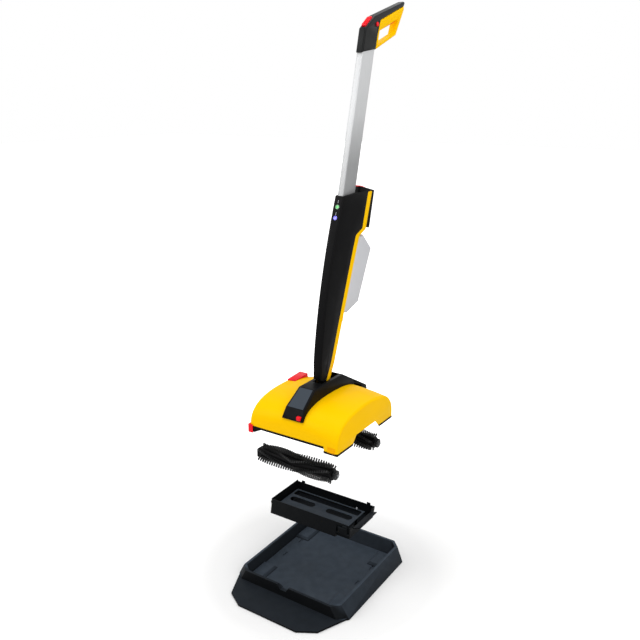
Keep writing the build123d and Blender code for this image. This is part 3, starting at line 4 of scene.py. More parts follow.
import bpy
from bpy.props import FloatProperty, FloatVectorProperty, IntProperty, PointerProperty
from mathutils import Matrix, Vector

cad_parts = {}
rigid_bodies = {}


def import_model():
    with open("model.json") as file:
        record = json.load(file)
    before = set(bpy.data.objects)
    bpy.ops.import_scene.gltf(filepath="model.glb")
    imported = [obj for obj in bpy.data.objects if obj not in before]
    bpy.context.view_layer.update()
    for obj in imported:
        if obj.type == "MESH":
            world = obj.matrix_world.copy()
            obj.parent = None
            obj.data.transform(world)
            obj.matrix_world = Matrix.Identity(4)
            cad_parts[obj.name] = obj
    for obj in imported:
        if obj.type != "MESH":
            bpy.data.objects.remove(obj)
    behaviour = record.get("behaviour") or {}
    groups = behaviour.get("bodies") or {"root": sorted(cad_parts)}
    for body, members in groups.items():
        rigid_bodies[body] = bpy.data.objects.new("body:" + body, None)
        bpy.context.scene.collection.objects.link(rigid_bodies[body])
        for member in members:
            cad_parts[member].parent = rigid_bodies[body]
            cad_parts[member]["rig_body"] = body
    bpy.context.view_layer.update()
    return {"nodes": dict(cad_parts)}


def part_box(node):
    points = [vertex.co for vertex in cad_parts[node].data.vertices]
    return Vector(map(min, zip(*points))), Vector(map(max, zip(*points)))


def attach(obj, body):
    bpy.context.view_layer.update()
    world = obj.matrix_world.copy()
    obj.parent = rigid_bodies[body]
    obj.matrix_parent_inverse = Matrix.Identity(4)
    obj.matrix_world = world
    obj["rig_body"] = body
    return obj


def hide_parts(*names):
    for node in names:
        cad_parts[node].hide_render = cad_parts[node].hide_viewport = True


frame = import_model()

bl_info = {
    "name": "Cordless floor cleaner",
    "version": (1, 0, 0),
    "blender": (4, 5, 0),
    "location": "View3D > Sidebar > Floor cleaner",
    "description": "Dresses the drawn-apart floor cleaner and its station with finished pieces",
    "category": "Object",
}

# Places taken from the frame, in metres
HEAD_LOW, HEAD_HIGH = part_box("head_cover")
CORE_LOW, CORE_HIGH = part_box("rear_roller_core")
TUFT_LOW, TUFT_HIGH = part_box("rear_roller_tufts")
EDGE_LOW, EDGE_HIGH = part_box("edge_trim")
ROLLER_Y = (CORE_LOW.y + CORE_HIGH.y) / 2
ROLLER_Z = (CORE_LOW.z + CORE_HIGH.z) / 2
ROLLER_X = (CORE_LOW.x + CORE_HIGH.x) / 2
CORE_RADIUS = (CORE_HIGH.z - CORE_LOW.z) / 2
ROW_HALF = (TUFT_HIGH.x - TUFT_LOW.x) / 2
TRAY_FRONT = -HEAD_HIGH.y - 0.02

# Places and sizes of the details, in metres
# Width of the change from less to more dusting and painted sheen at the tray's front
TRAY_FADE = 0.012
LEAN = math.radians(14)
# Heights over which the painted shade on the tube's flanks fades out
TUBE_SHADE_LOW, TUBE_SHADE_HIGH = 1.27, 1.41
SKIRT_LEFT, SKIRT_RIGHT = -0.1460, 0.1070
PEG_RADIUS, PEG_HEIGHT = 0.0026, 0.006
PEG_FROM_RIGHT, PEG_FROM_REAR = 0.028, 0.003
PEG_RIM, PEG_DISH, PEG_EDGE = 0.0009, 0.0012, 0.0004
ROOT_WIDTH, ROOT_SINK, ROOT_EDGE = 0.0042, 0.001, 0.0009
BUNDLE_ALONG, BUNDLE_ACROSS = 0.0013, 0.0020
BRISTLE_SIDES = 5
BRISTLE_STAGES = ((0.45, 1.0), (0.35, 1.0), (0.2, 0.85))
BRISTLE_STAGGER = 0.0008
END_RADIUS, END_THICKNESS, END_PROUD = 0.0178, 0.006, 0.0004
END_RIM, END_DISH, END_RING, END_HUB, END_EDGE = 0.0030, 0.0012, 0.005, 0.0010, 0.0004
LEG_PLATE_X, LEG_PLATE_Z = (0.1200, 0.1450), (0.5115, 0.5285)
LEG_PLATE_SINK, LEG_PLATE_RIM, LEG_PLATE_EDGE = 0.0015, 0.0008, 0.0003
SLOPE_AREA, SLOPE_MARGIN = 0.001, 0.0025
LIGHT_PROUD = 0.0020
BAR_HALF, BAR_LENGTH, BAR_EDGE = 0.0008, 0.0085, 0.0002
GREEN_BAR_RISE, BLUE_BAR_RISE = 0.0110, 0.0080
MERGE_DISTANCE = 1e-6

# Ring round a light, as shares of the light's half height
RING_REACH, RING_WIDTH = 2.1, 1.05

# Angles that part flat, sharp and smooth edges
FLAT_ANGLE, SHARP_ANGLE, SMOOTH_ANGLE = math.radians(0.3), math.radians(30), math.radians(35)
BRISTLE_ANGLE = math.radians(50)


def srgb(red, green, blue):
    """Linear colour from screen values between 0 and 255."""
    def linear(value):
        value = value / 255
        return value / 12.92 if value <= 0.04045 else ((value + 0.055) / 1.055) ** 2.4
    return linear(red), linear(green), linear(blue)


def colour(label, text, *screen):
    """Colour setting."""
    return FloatVectorProperty(name=label, description=text, default=srgb(*screen), subtype="COLOR", size=3,
                               min=0, max=1)


def length(label, text, metres):
    """Length setting."""
    return FloatProperty(name=label, description=text, default=metres, unit="LENGTH", precision=4)


def angle(label, text, degrees):
    """Angle setting."""
    return FloatProperty(name=label, description=text, default=math.radians(degrees), subtype="ANGLE")


# Settings

class CleanerColours(bpy.types.PropertyGroup):
    """Colours of the finishes."""
    yellow: colour("Yellow", "Shell plastic of cover, trim and loop", 255, 199, 0)
    black: colour("Black", "Shell plastic of column, bridge and grip", 12, 12, 13)
    slate: colour("Slate", "Plastic of station and tank", 11, 13, 15)
    # Pale tint for faces that look up: a fine dusting and a painted sheen
    dust_sheen: colour("Dust and sheen", "Painted sheen and dusting on station and tank", 92, 104, 118)
    red: colour("Red", "Plastic of the controls", 240, 28, 40)
    metal: colour("Metal", "Anodised upright tube", 203, 204, 205)
    bottle: colour("Bottle", "Clouded plastic of the water bottle", 221, 222, 226)
    bristle: colour("Bristle", "Roots of the brush bristles", 8, 9, 9)
    # Paler colour of the bristle tips, a painted highlight
    bristle_tip: colour("Bristle tip", "Painted highlight on the ends of the brush bristles", 24, 25, 26)
    plate: colour("Plate", "Bare plate on the bridge's front slope", 62, 69, 77)
    mark: colour("Mark", "Plain bars and pegs", 176, 178, 182)
    floor: colour("Floor", "Studio floor", 244, 244, 244)


class CleanerSizes(bpy.types.PropertyGroup):
    """Sizes of the finishing details."""
    wide_edge: length("Wide edge", "Rounding of the station's and the cover's edges", 0.0022)
    edge: length("Edge", "Rounding of moulded edges", 0.0011)
    fine_edge: length("Fine edge", "Rounding of small pieces", 0.0005)
    tuft_pitch: length("Tuft pitch", "Distance between tufts along a row", 0.0072)
    tuft_reach: length("Tuft reach", "Radius over the bristle tips", 0.0307)
    tuft_root: length("Tuft root", "Radius over the dense roots of a row", 0.0196)
    bristle_radius: length("Bristle radius", "Radius of one bristle at its root", 0.0013)
    bristle_lean: angle("Bristle lean", "Lean of the outer bristles of a tuft", 2)
    tuft_bristles: IntProperty(name="Tuft bristles", description="Bristles in a tuft", default=9, min=3)
    # Black strip on the cover's lower edge: the real trim and a painted shadow in the gap under the cover
    trim_and_shadow_rise: length("Strip rise", "Height of the black strip on the cover's lower edge", 0.0050)
    trim_and_shadow_thickness: length("Strip thickness", "Thickness of the black strip", 0.0006)
    skirt_relief: length("Skirt relief", "Height of the cover's edge between the legs", 0.0130)
    plate_thickness: length("Plate thickness", "Thickness of bare plates and marks", 0.0006)
    row_sweep: angle("Row sweep", "Turn of a tuft row from the middle to the end", 70)
    tuft_rows: IntProperty(name="Tuft rows", description="Tuft rows round a roller", default=6, min=3)


class CleanerView(bpy.types.PropertyGroup):
    """Camera and light."""
    place: FloatVectorProperty(name="Camera place", description="Where the camera stands", subtype="XYZ",
                               default=(1.1257, -1.7269, 1.4624), unit="LENGTH", size=3)
    heading: angle("Heading", "Turn of the camera from straight ahead", 33.323)
    pitch: angle("Pitch", "Tilt of the camera below the horizon", 16.901)
    lens: FloatProperty(name="Lens", description="Focal length in millimetres", default=41.63)
    key_power: FloatProperty(name="Key light", description="Power of the large front left light",
                             default=50, unit="POWER")
    top_power: FloatProperty(name="Top light", description="Power of the overhead light", default=46,
                             unit="POWER")
    fill_power: FloatProperty(name="Fill light", description="Power of the right fill light", default=32,
                              unit="POWER")
    sky: FloatProperty(name="Sky", description="Light from all around", default=0.48)
    floor_glow: FloatProperty(name="Floor glow", description="Lift of the floor near the station",
                              default=0.05)


# Modelling helpers

def only(piece):
    """Select one piece alone and make it active."""
    bpy.ops.object.select_all(action="DESELECT")
    piece.select_set(True)
    bpy.context.view_layer.objects.active = piece


def apply_modifiers(piece):
    """Apply every modifier of a piece in order."""
    only(piece)
    for modifier in list(piece.modifiers):
        bpy.ops.object.modifier_apply(modifier=modifier.name)


def copy_node(node, name):
    """Clean copy of a CAD node: doubles merged and flat faces joined."""
    piece = bpy.data.objects.new(name, frame["nodes"][node].data.copy())
    bpy.context.scene.collection.objects.link(piece)
    piece.data.materials.clear()
    only(piece)
    if piece.data.has_custom_normals:
        bpy.ops.mesh.customdata_custom_splitnormals_clear()
    bpy.ops.object.mode_set(mode="EDIT")
    bpy.ops.mesh.select_all(action="SELECT")
    bpy.ops.mesh.remove_doubles(threshold=MERGE_DISTANCE)
    bpy.ops.mesh.dissolve_limited(angle_limit=FLAT_ANGLE)
    bpy.ops.object.mode_set(mode="OBJECT")
    return piece


def only_faces(piece, wanted):
    """Select the faces of a piece that fit a test, ready for edit mode."""
    only(piece)
    bpy.ops.object.mode_set(mode="EDIT")
    bpy.ops.mesh.select_mode(type="FACE")
    bpy.ops.mesh.select_all(action="DESELECT")
    bpy.ops.object.mode_set(mode="OBJECT")
    for face in piece.data.polygons:
        face.select = wanted(face)


def ease(piece, width):
    """Round the sharp edges of a piece and shade it."""
    bevel = piece.modifiers.new("Eased edges", "BEVEL")
    bevel.width = width
    bevel.segments = 2
    bevel.limit_method = "ANGLE"
    bevel.angle_limit = SHARP_ANGLE
    apply_modifiers(piece)
    bpy.ops.object.shade_smooth_by_angle(angle=SMOOTH_ANGLE)


def settle(piece, body, slot, material, *nodes):
    """Give a finished piece its material and the body that it rides on, and hide the nodes that it stands
    for.
    """
    piece.data.materials.clear()
    piece.data.materials.append(material)
    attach(piece, body)
    if nodes:
        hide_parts(*nodes)


def dress(node, width, slot, material):
    """Stand-in for a CAD node with eased edges."""
    piece = copy_node(node, node + "_eased")
    ease(piece, width)
    settle(piece, frame["nodes"][node]["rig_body"], slot, material, node)
    return piece


def finish_node(node, material):
    """Give a CAD node that stays a finished material."""
    shown = frame["nodes"][node]
    shown.data.materials.clear()
    shown.data.materials.append(material)


def block(name, low, high):
    """Box from corner to corner with its place in the mesh."""
    low, high = Vector(low), Vector(high)
    bpy.ops.object.select_all(action="DESELECT")
    bpy.ops.mesh.primitive_cube_add(size=1, location=(low + high) / 2, scale=high - low)
    piece = bpy.context.object
    piece.name = name
    bpy.ops.object.transform_apply(location=True, rotation=True, scale=True)
    return piece


def cut_back(piece, *planes):
    """Cut a piece at planes and clear what lies beyond each, in the direction of its normal."""
    only(piece)
    bpy.ops.object.mode_set(mode="EDIT")
    for place, normal in planes:
        bpy.ops.mesh.select_all(action="SELECT")
        bpy.ops.mesh.bisect(plane_co=place, plane_no=normal, clear_outer=True)
    bpy.ops.object.mode_set(mode="OBJECT")


def thicken(piece, thickness):
    """Give a cut skin some thickness on its outer side."""
    layer = piece.modifiers.new("Layer", "SOLIDIFY")
    layer.thickness = thickness
    layer.offset = 1
    apply_modifiers(piece)
    bpy.ops.object.shade_smooth_by_angle(angle=SMOOTH_ANGLE)


# Shared effects

def new_group(name, inputs, outputs):
    """Empty shader node group with its sockets."""
    group = bpy.data.node_groups.new(name, "ShaderNodeTree")
    for label, kind, value in inputs:
        socket = group.interface.new_socket(name=label, in_out="INPUT", socket_type=kind)
        socket.default_value = value
    for label, kind in outputs:
        group.interface.new_socket(name=label, in_out="OUTPUT", socket_type=kind)
    start = group.nodes.new("NodeGroupInput")
    end = group.nodes.new("NodeGroupOutput")
    return group, start, end


def noise(tree, place, scale, detail=2.0):
    """Noise texture at a place."""
    node = tree.nodes.new("ShaderNodeTexNoise")
    node.inputs["Scale"].default_value = scale
    node.inputs["Detail"].default_value = detail
    tree.links.new(place, node.inputs["Vector"])
    return node


def spread(tree, value, low, high, to_low, to_high):
    """Map a value from one range to another, held at its ends."""
    node = tree.nodes.new("ShaderNodeMapRange")
    node.clamp = True
    node.inputs["From Min"].default_value = low
    node.inputs["From Max"].default_value = high
    tree.links.new(value, node.inputs["Value"])
    for label, target in (("To Min", to_low), ("To Max", to_high)):
        if isinstance(target, (int, float)):
            node.inputs[label].default_value = target
        else:
            tree.links.new(target, node.inputs[label])
    return node.outputs["Result"]


def mix(tree, share, first, second):
    """Mix of two colours by a share."""
    node = tree.nodes.new("ShaderNodeMix")
    node.data_type = "RGBA"
    for socket, value in ((node.inputs[0], share), (node.inputs[6], first), (node.inputs[7], second)):
        if isinstance(value, (int, float)):
            socket.default_value = value
        elif isinstance(value, (tuple, list)):
            socket.default_value = (*value, 1)
        else:
            tree.links.new(value, socket)
    return node.outputs[2]


def maths(tree, operation, first, second=0.0):
    """Sum or the like of two values."""
    node = tree.nodes.new("ShaderNodeMath")
    node.operation = operation
    for socket, value in zip(node.inputs, (first, second)):
        if isinstance(value, (int, float)):
            socket.default_value = value
        else:
            tree.links.new(value, socket)
    return node.outputs[0]


def object_place(tree):
    """Object coordinates."""
    return tree.nodes.new("ShaderNodeTexCoord").outputs["Object"]


def moulded_skin():
    """Moulded plastic: slight tone drift, fine grain and uneven gloss."""
    group, start, end = new_group("Moulded skin", [
        ("Colour", "NodeSocketColor", (0.5, 0.5, 0.5, 1)), ("Drift", "NodeSocketFloat", 0.1),
        ("Grain scale", "NodeSocketFloat", 2500), ("Smooth", "NodeSocketFloat", 0.3),
        ("Rough", "NodeSocketFloat", 0.4)],
        [("Colour", "NodeSocketColor"), ("Roughness", "NodeSocketFloat"), ("Height", "NodeSocketFloat")])
    place = object_place(group)
    cloud = noise(group, place, 9.0, 4.0).outputs["Fac"]
    darker = group.nodes.new("ShaderNodeHueSaturation")
    darker.inputs["Value"].default_value = 0.55
    group.links.new(start.outputs["Colour"], darker.inputs["Color"])
    share = maths(group, "MULTIPLY", spread(group, cloud, 0.35, 0.7, 0.0, 1.0), start.outputs["Drift"])
    drifted = mix(group, share, start.outputs["Colour"], darker.outputs["Color"])
    group.links.new(drifted, end.inputs["Colour"])
    smudge = noise(group, place, 26.0, 5.0).outputs["Fac"]
    group.links.new(spread(group, smudge, 0.3, 0.7, start.outputs["Smooth"], start.outputs["Rough"]),
                    end.inputs["Roughness"])
    grain = noise(group, place, 2500.0, 1.0)
    group.links.new(start.outputs["Grain scale"], grain.inputs["Scale"])
    group.links.new(grain.outputs["Fac"], end.inputs["Height"])
    return group


def paint_dust_and_sheen():
    """Pale tint on faces that look up: partly a fine dusting, partly a painted sheen."""
    group, start, end = new_group("Painted sheen and dusting", [
        ("Colour", "NodeSocketColor", (0.5, 0.5, 0.5, 1)), ("Dust and sheen", "NodeSocketColor", (0.5, 0.5, 0.5, 1)),
        ("Amount", "NodeSocketFloat", 0.1)], [("Colour", "NodeSocketColor")])
    facing = group.nodes.new("ShaderNodeNewGeometry")
    split = group.nodes.new("ShaderNodeSeparateXYZ")
    group.links.new(facing.outputs["Normal"], split.inputs[0])
    # Painted sheen: the tint is given only to faces that look up
    up = spread(group, split.outputs["Z"], 0.2, 0.95, 0.0, 1.0)
    cloud = noise(group, object_place(group), 38.0, 6.0).outputs["Fac"]
    patchy = maths(group, "MULTIPLY", up, spread(group, cloud, 0.3, 0.75, 0.75, 1.0))
    share = maths(group, "MULTIPLY", patchy, start.outputs["Amount"])
    group.links.new(mix(group, share, start.outputs["Colour"], start.outputs["Dust and sheen"]), end.inputs["Colour"])
    return group


def drawn_lines():
    """Fine lines along the handle, as on drawn and brushed metal."""
    group, start, end = new_group("Drawn lines", [
        ("Colour", "NodeSocketColor", (0.5, 0.5, 0.5, 1)), ("Smooth", "NodeSocketFloat", 0.25),
        ("Rough", "NodeSocketFloat", 0.4)],
        [("Colour", "NodeSocketColor"), ("Roughness", "NodeSocketFloat"), ("Height", "NodeSocketFloat")])
    turned = group.nodes.new("ShaderNodeMapping")
    turned.inputs["Rotation"].default_value = (LEAN, 0, 0)
    turned.inputs["Scale"].default_value = (1, 1, 0.01)
    group.links.new(object_place(group), turned.inputs["Vector"])
    line = noise(group, turned.outputs["Vector"], 1400.0, 3.0).outputs["Fac"]
    darker = group.nodes.new("ShaderNodeHueSaturation")
    darker.inputs["Value"].default_value = 0.8
    group.links.new(start.outputs["Colour"], darker.inputs["Color"])
    share = spread(group, line, 0.4, 0.65, 0.0, 0.45)
    lined = mix(group, share, start.outputs["Colour"], darker.outputs["Color"])
    group.links.new(lined, end.inputs["Colour"])
    group.links.new(spread(group, line, 0.3, 0.7, start.outputs["Smooth"], start.outputs["Rough"]),
                    end.inputs["Roughness"])
    group.links.new(line, end.inputs["Height"])
    return group


# Finishes

def shared(name, make):
    """A node group by its name, made the first time it is asked for."""
    return bpy.data.node_groups.get(name) or make()


def place_group(tree, group, values):
    """Put a group in a material with its own values."""
    node = tree.nodes.new("ShaderNodeGroup")
    node.node_tree = group
    for label, value in values.items():
        node.inputs[label].default_value = value
    return node


def start_material(name):
    """New node material, its tree and its shader."""
    material = bpy.data.materials.new(name)
    material.use_nodes = True
    tree = material.node_tree
    return material, tree, tree.nodes["Principled BSDF"]


def bump(tree, shader, height, strength, distance):
    """Surface relief from a height."""
    node = tree.nodes.new("ShaderNodeBump")
    node.inputs["Strength"].default_value = strength
    node.inputs["Distance"].default_value = distance
    tree.links.new(height, node.inputs["Height"])
    tree.links.new(node.outputs["Normal"], shader.inputs["Normal"])


def plastic(name, base, smooth, rough, drift=0.1, grain=2500.0, relief=0.08, dust_sheen=0.0, shine=0.3):
    """Moulded plastic finish."""
    made = bpy.data.materials.get(name)
    if made:
        return made
    material, tree, shader = start_material(name)
    skin = place_group(tree, shared("Moulded skin", moulded_skin), {
        "Colour": (*base, 1), "Drift": drift, "Grain scale": grain, "Smooth": smooth, "Rough": rough})
    surface = skin.outputs["Colour"]
    # Pale tint on faces that look up: a fine dusting and a painted sheen
    if dust_sheen:
        dust_sheen_node = place_group(tree, shared("Painted sheen and dusting", paint_dust_and_sheen), {
            "Dust and sheen": (*bpy.context.scene.cleaner_colours.dust_sheen, 1), "Amount": dust_sheen})
        tree.links.new(surface, dust_sheen_node.inputs["Colour"])
        surface = dust_sheen_node.outputs["Colour"]
    tree.links.new(surface, shader.inputs["Base Color"])
    tree.links.new(skin.outputs["Roughness"], shader.inputs["Roughness"])
    shader.inputs["Specular IOR Level"].default_value = shine
    bump(tree, shader, skin.outputs["Height"], relief, 0.0002)
    return material


def yellow_shell():
    """Yellow plastic of cover, trim, loop and cap."""
    return plastic("Yellow shell", bpy.context.scene.cleaner_colours.yellow, 0.34, 0.46, 0.06, 2200.0, 0.05,
                   shine=0.03)


def black_shell():
    """Black plastic of column, bridge and battery."""
    return plastic("Black shell", bpy.context.scene.cleaner_colours.black, 0.34, 0.5, 0.2, 2400.0, 0.10,
                   shine=0.06)


def grip_shell():
    """Dark plastic of the grip."""
    return plastic("Grip shell", srgb(22, 23, 23), 0.3, 0.44, 0.2, 1500.0, 0.1, shine=0.12)


def orange_plate():
    """Deeper yellow plate on the cover's leg."""
    return plastic("Orange plate", srgb(252, 176, 0), 0.34, 0.46, 0.06, 2200.0, 0.05, shine=0.03)


def slate_plate():
    """Bare plate on the bridge's slope."""
    return plastic("Slate plate", bpy.context.scene.cleaner_colours.plate, 0.4, 0.55, 0.25, 2200.0, 0.1,
                   shine=0.08)


def pale_mark():
    """Pale plastic of bars and peg."""
    return plastic("Pale mark", bpy.context.scene.cleaner_colours.mark, 0.4, 0.5, 0.1, 2200.0, 0.04,
                   shine=0.1)


def tank_plastic():
    """Dark plastic of the debris tank, with only a little dusting and painted sheen."""
    return plastic("Tank plastic", bpy.context.scene.cleaner_colours.slate, 0.42, 0.6, 0.2, 1800.0, 0.16,
                   dust_sheen=0.05, shine=0.06)


def deck_plastic():
    """Plastic of the tank's deck, with much dusting and painted sheen on faces that look up."""
    return plastic("Deck plastic", bpy.context.scene.cleaner_colours.slate, 0.42, 0.6, 0.2, 1800.0, 0.16,
                   dust_sheen=0.36, shine=0.06)


def tray_plastic():
    """Station plastic, with more dusting and painted sheen inside the tray than on its step plate."""
    made = bpy.data.materials.get("Tray plastic")
    if made:
        return made
    material = plastic("Tray plastic", bpy.context.scene.cleaner_colours.slate, 0.45, 0.62, 0.2, 1800.0,
                       0.16, dust_sheen=0.4, shine=0.06)
    tree = material.node_tree
    split = tree.nodes.new("ShaderNodeSeparateXYZ")
    tree.links.new(object_place(tree), split.inputs[0])
    # Share of dusting and painted sheen, low on the step plate and higher inside the tray
    inside = spread(tree, split.outputs["Y"], TRAY_FRONT - TRAY_FADE, TRAY_FRONT, 0.1, 0.42)
    dust_sheen_node = next(node for node in tree.nodes if node.type == "GROUP" and "Amount" in node.inputs)
    tree.links.new(inside, dust_sheen_node.inputs["Amount"])
    return material


def red_control():
    """Red plastic of buttons, latches and levers."""
    return plastic("Red control", bpy.context.scene.cleaner_colours.red, 0.28, 0.4, 0.12, 2600.0, 0.05,
                   shine=0.12)


def rubber_foot():
    """Rubber of the station's feet."""
    return plastic("Foot rubber", srgb(26, 26, 27), 0.7, 0.85, 0.25, 900.0, 0.3)


def dark_nylon():
    """Nylon of the gears."""
    return plastic("Gear nylon", srgb(30, 31, 32), 0.35, 0.5, 0.1, 2000.0, 0.05)


def green_board():
    """Lacquer of the control board."""
    return plastic("Board", srgb(24, 84, 52), 0.35, 0.55, 0.25, 700.0, 0.1)


def milky_bottle():
    """Clouded bottle plastic."""
    made = bpy.data.materials.get("Bottle plastic")
    if made:
        return made
    material = plastic("Bottle plastic", bpy.context.scene.cleaner_colours.bottle, 0.32, 0.45, 0.08,
                       1500.0, 0.04)
    shader = material.node_tree.nodes["Principled BSDF"]
    shader.inputs["Transmission Weight"].default_value = 0.2
    shader.inputs["IOR"].default_value = 1.45
    return material


def drawn_metal(name, base, smooth, rough, metallic):
    """Drawn or brushed metal finish."""
    made = bpy.data.materials.get(name)
    if made:
        return made
    material, tree, shader = start_material(name)
    lines = place_group(tree, shared("Drawn lines", drawn_lines), {
        "Colour": (*base, 1), "Smooth": smooth, "Rough": rough})
    tree.links.new(lines.outputs["Colour"], shader.inputs["Base Color"])
    tree.links.new(lines.outputs["Roughness"], shader.inputs["Roughness"])
    shader.inputs["Metallic"].default_value = metallic
    bump(tree, shader, lines.outputs["Height"], 0.05, 0.0001)
    return material


def anodised_tube():
    """Anodised tube with painted shade on its flanks, deeper towards the lower end."""
    made = bpy.data.materials.get("Anodised tube")
    if made:
        return made
    material = drawn_metal("Anodised tube", bpy.context.scene.cleaner_colours.metal, 0.45, 0.6, 0.4)
    tree = material.node_tree
    shader = tree.nodes["Principled BSDF"]
    unshaded_colour = shader.inputs["Base Color"].links[0].from_socket
    place = tree.nodes.new("ShaderNodeSeparateXYZ")
    tree.links.new(object_place(tree), place.inputs[0])
    facing = tree.nodes.new("ShaderNodeSeparateXYZ")
    tree.links.new(tree.nodes.new("ShaderNodeNewGeometry").outputs["Normal"], facing.inputs[0])
    # Painted shade: faces that look sideways darken, more so at the lower end
    flank_shade = spread(tree, maths(tree, "ABSOLUTE", facing.outputs["X"]), 0.4, 0.8, 0.12, 0.5)
    low_end_shade = spread(tree, place.outputs["Z"], TUBE_SHADE_LOW, TUBE_SHADE_HIGH, 1.0, 0.0)
    painted_flank_shade = mix(tree, maths(tree, "MULTIPLY", flank_shade, low_end_shade), unshaded_colour, srgb(96, 97, 98))
    tree.links.new(painted_flank_shade, shader.inputs["Base Color"])
    return material


def turned_steel():
    """Steel of pins, axles and motors."""
    return drawn_metal("Turned steel", srgb(150, 152, 155), 0.25, 0.4, 0.9)


def brush_bristle():
    """Bristles, dark at the roots and paler towards the tips, the paler tips a painted highlight."""
    made = bpy.data.materials.get("Brush bristle")
    if made:
        return made
    colours = bpy.context.scene.cleaner_colours
    sizes = bpy.context.scene.cleaner_sizes
    material, tree, shader = start_material("Brush bristle")
    split = tree.nodes.new("ShaderNodeSeparateXYZ")
    tree.links.new(object_place(tree), split.inputs[0])
    side = maths(tree, "SUBTRACT", maths(tree, "ABSOLUTE", split.outputs["Y"]), ROLLER_Y)
    rise = maths(tree, "SUBTRACT", split.outputs["Z"], ROLLER_Z)
    reach = maths(tree, "SQRT", maths(tree, "ADD", maths(tree, "MULTIPLY", side, side),
                                      maths(tree, "MULTIPLY", rise, rise)))
    # Painted highlight: the colour pales towards the bristle tips
    tip_highlight = spread(tree, reach, sizes.tuft_root, sizes.tuft_reach, 0.0, 1.0)
    strand = noise(tree, object_place(tree), 900.0, 2.0).outputs["Fac"]
    share = maths(tree, "MULTIPLY", tip_highlight, spread(tree, strand, 0.35, 0.65, 0.3, 1.0))
    surface = mix(tree, share, tuple(colours.bristle), tuple(colours.bristle_tip))
    tree.links.new(surface, shader.inputs["Base Color"])
    tree.links.new(spread(tree, strand, 0.3, 0.7, 0.35, 0.55), shader.inputs["Roughness"])
    return material


def glowing_lens(name, glow, strength):
    """Small lit lens with paler clouds."""
    made = bpy.data.materials.get(name)
    if made:
        return made
    material, tree, shader = start_material(name)
    cloud = noise(tree, object_place(tree), 420.0, 2.0).outputs["Fac"]
    surface = mix(tree, spread(tree, cloud, 0.4, 0.6, 0.0, 0.15), tuple(glow), (1, 1, 1))
    tree.links.new(surface, shader.inputs["Base Color"])
    tree.links.new(surface, shader.inputs["Emission Color"])
    shader.inputs["Emission Strength"].default_value = strength
    shader.inputs["Roughness"].default_value = 0.2
    return material


def studio_floor():
    """White floor that keeps the object's shadow."""
    colours = bpy.context.scene.cleaner_colours
    view = bpy.context.scene.cleaner_view
    material, tree, shader = start_material("Studio floor")
    cloud = noise(tree, object_place(tree), 1.5, 2.0).outputs["Fac"]
    surface = mix(tree, spread(tree, cloud, 0.3, 0.7, 0.0, 0.03), tuple(colours.floor), (0.9, 0.9, 0.9))
    tree.links.new(surface, shader.inputs["Base Color"])
    shader.inputs["Roughness"].default_value = 0.8
    shader.inputs["Specular IOR Level"].default_value = 0.1
    glow = tree.nodes.new("ShaderNodeEmission")
    glow.inputs["Color"].default_value = (1, 1, 1, 1)
    away = tree.nodes.new("ShaderNodeVectorMath")
    away.operation = "LENGTH"
    tree.links.new(object_place(tree), away.inputs[0])
    lift = spread(tree, away.outputs["Value"], 0.35, 1.3, view.floor_glow, 1.0)
    path = tree.nodes.new("ShaderNodeLightPath")
    tree.links.new(maths(tree, "MULTIPLY", path.outputs["Is Camera Ray"], lift), glow.inputs["Strength"])
    both = tree.nodes.new("ShaderNodeAddShader")
    tree.links.new(shader.outputs[0], both.inputs[0])
    tree.links.new(glow.outputs[0], both.inputs[1])
    tree.links.new(both.outputs[0], tree.nodes["Material Output"].inputs["Surface"])
    return material


# Operators

class CLEANER_OT_stage(bpy.types.Operator):
    """Set up the camera, the white floor and the soft lights"""
    bl_idname = "cleaner.stage"
    bl_label = "Stage"

    def execute(self, context):
        view = context.scene.cleaner_view
        heading, pitch = view.heading, view.pitch
        ahead = Vector((-math.sin(heading) * math.cos(pitch), math.cos(heading) * math.cos(pitch),
                        -math.sin(pitch)))
        bpy.ops.object.camera_add(location=view.place, rotation=ahead.to_track_quat("-Z", "Y").to_euler())
        camera = context.object
        camera.name = "photo_camera"
        camera.data.lens = view.lens
        camera.data.sensor_width = 36
        camera.data.clip_end = 200
        context.scene.camera = camera
        bpy.ops.mesh.primitive_grid_add(x_subdivisions=8, y_subdivisions=8, size=40, location=(0, 0, 0))
        floor = context.object
        floor.name = "studio_floor"
        floor.data.materials.append(studio_floor())
        middle = Vector((0, 0, 0.6))
        for name, place, size, power in (
                ("key_light", (-2.2, -2.3, 2.7), 2.4, view.key_power),
                ("top_light", (0.2, 0.4, 3.4), 2.6, view.top_power),
                ("fill_light", (2.5, -1.4, 2.2), 2.2, view.fill_power)):
            turn = (middle - Vector(place)).to_track_quat("-Z", "Y").to_euler()
            bpy.ops.object.light_add(type="AREA", location=place, rotation=turn)
            lamp = context.object
            lamp.name = name
            lamp.data.shape = "SQUARE"
            lamp.data.size = size
            lamp.data.energy = power
        world = bpy.data.worlds.new("Studio")
        context.scene.world = world
        world.use_nodes = True
        tree = world.node_tree
        sky = tree.nodes["Background"]
        path = tree.nodes.new("ShaderNodeLightPath")
        mirrored = maths(tree, "MAXIMUM", path.outputs["Is Glossy Ray"],
                         path.outputs["Is Transmission Ray"])
        shown = maths(tree, "MAXIMUM", path.outputs["Is Camera Ray"], mirrored)
        sky.inputs["Color"].default_value = (1, 1, 1, 1)
        tree.links.new(spread(tree, shown, 0, 1, view.sky, 1.0), sky.inputs["Strength"])
        context.scene.view_settings.view_transform = "Standard"
        return {"FINISHED"}


class CLEANER_OT_station(bpy.types.Operator):
    """Finish the station tray and its feet"""
    bl_idname = "cleaner.station"
    bl_label = "Station"

    def execute(self, context):
        sizes = context.scene.cleaner_sizes
        dress("station_tray", sizes.wide_edge, "tray_plastic", tray_plastic())
        finish_node("station_feet", rubber_foot())
        return {"FINISHED"}


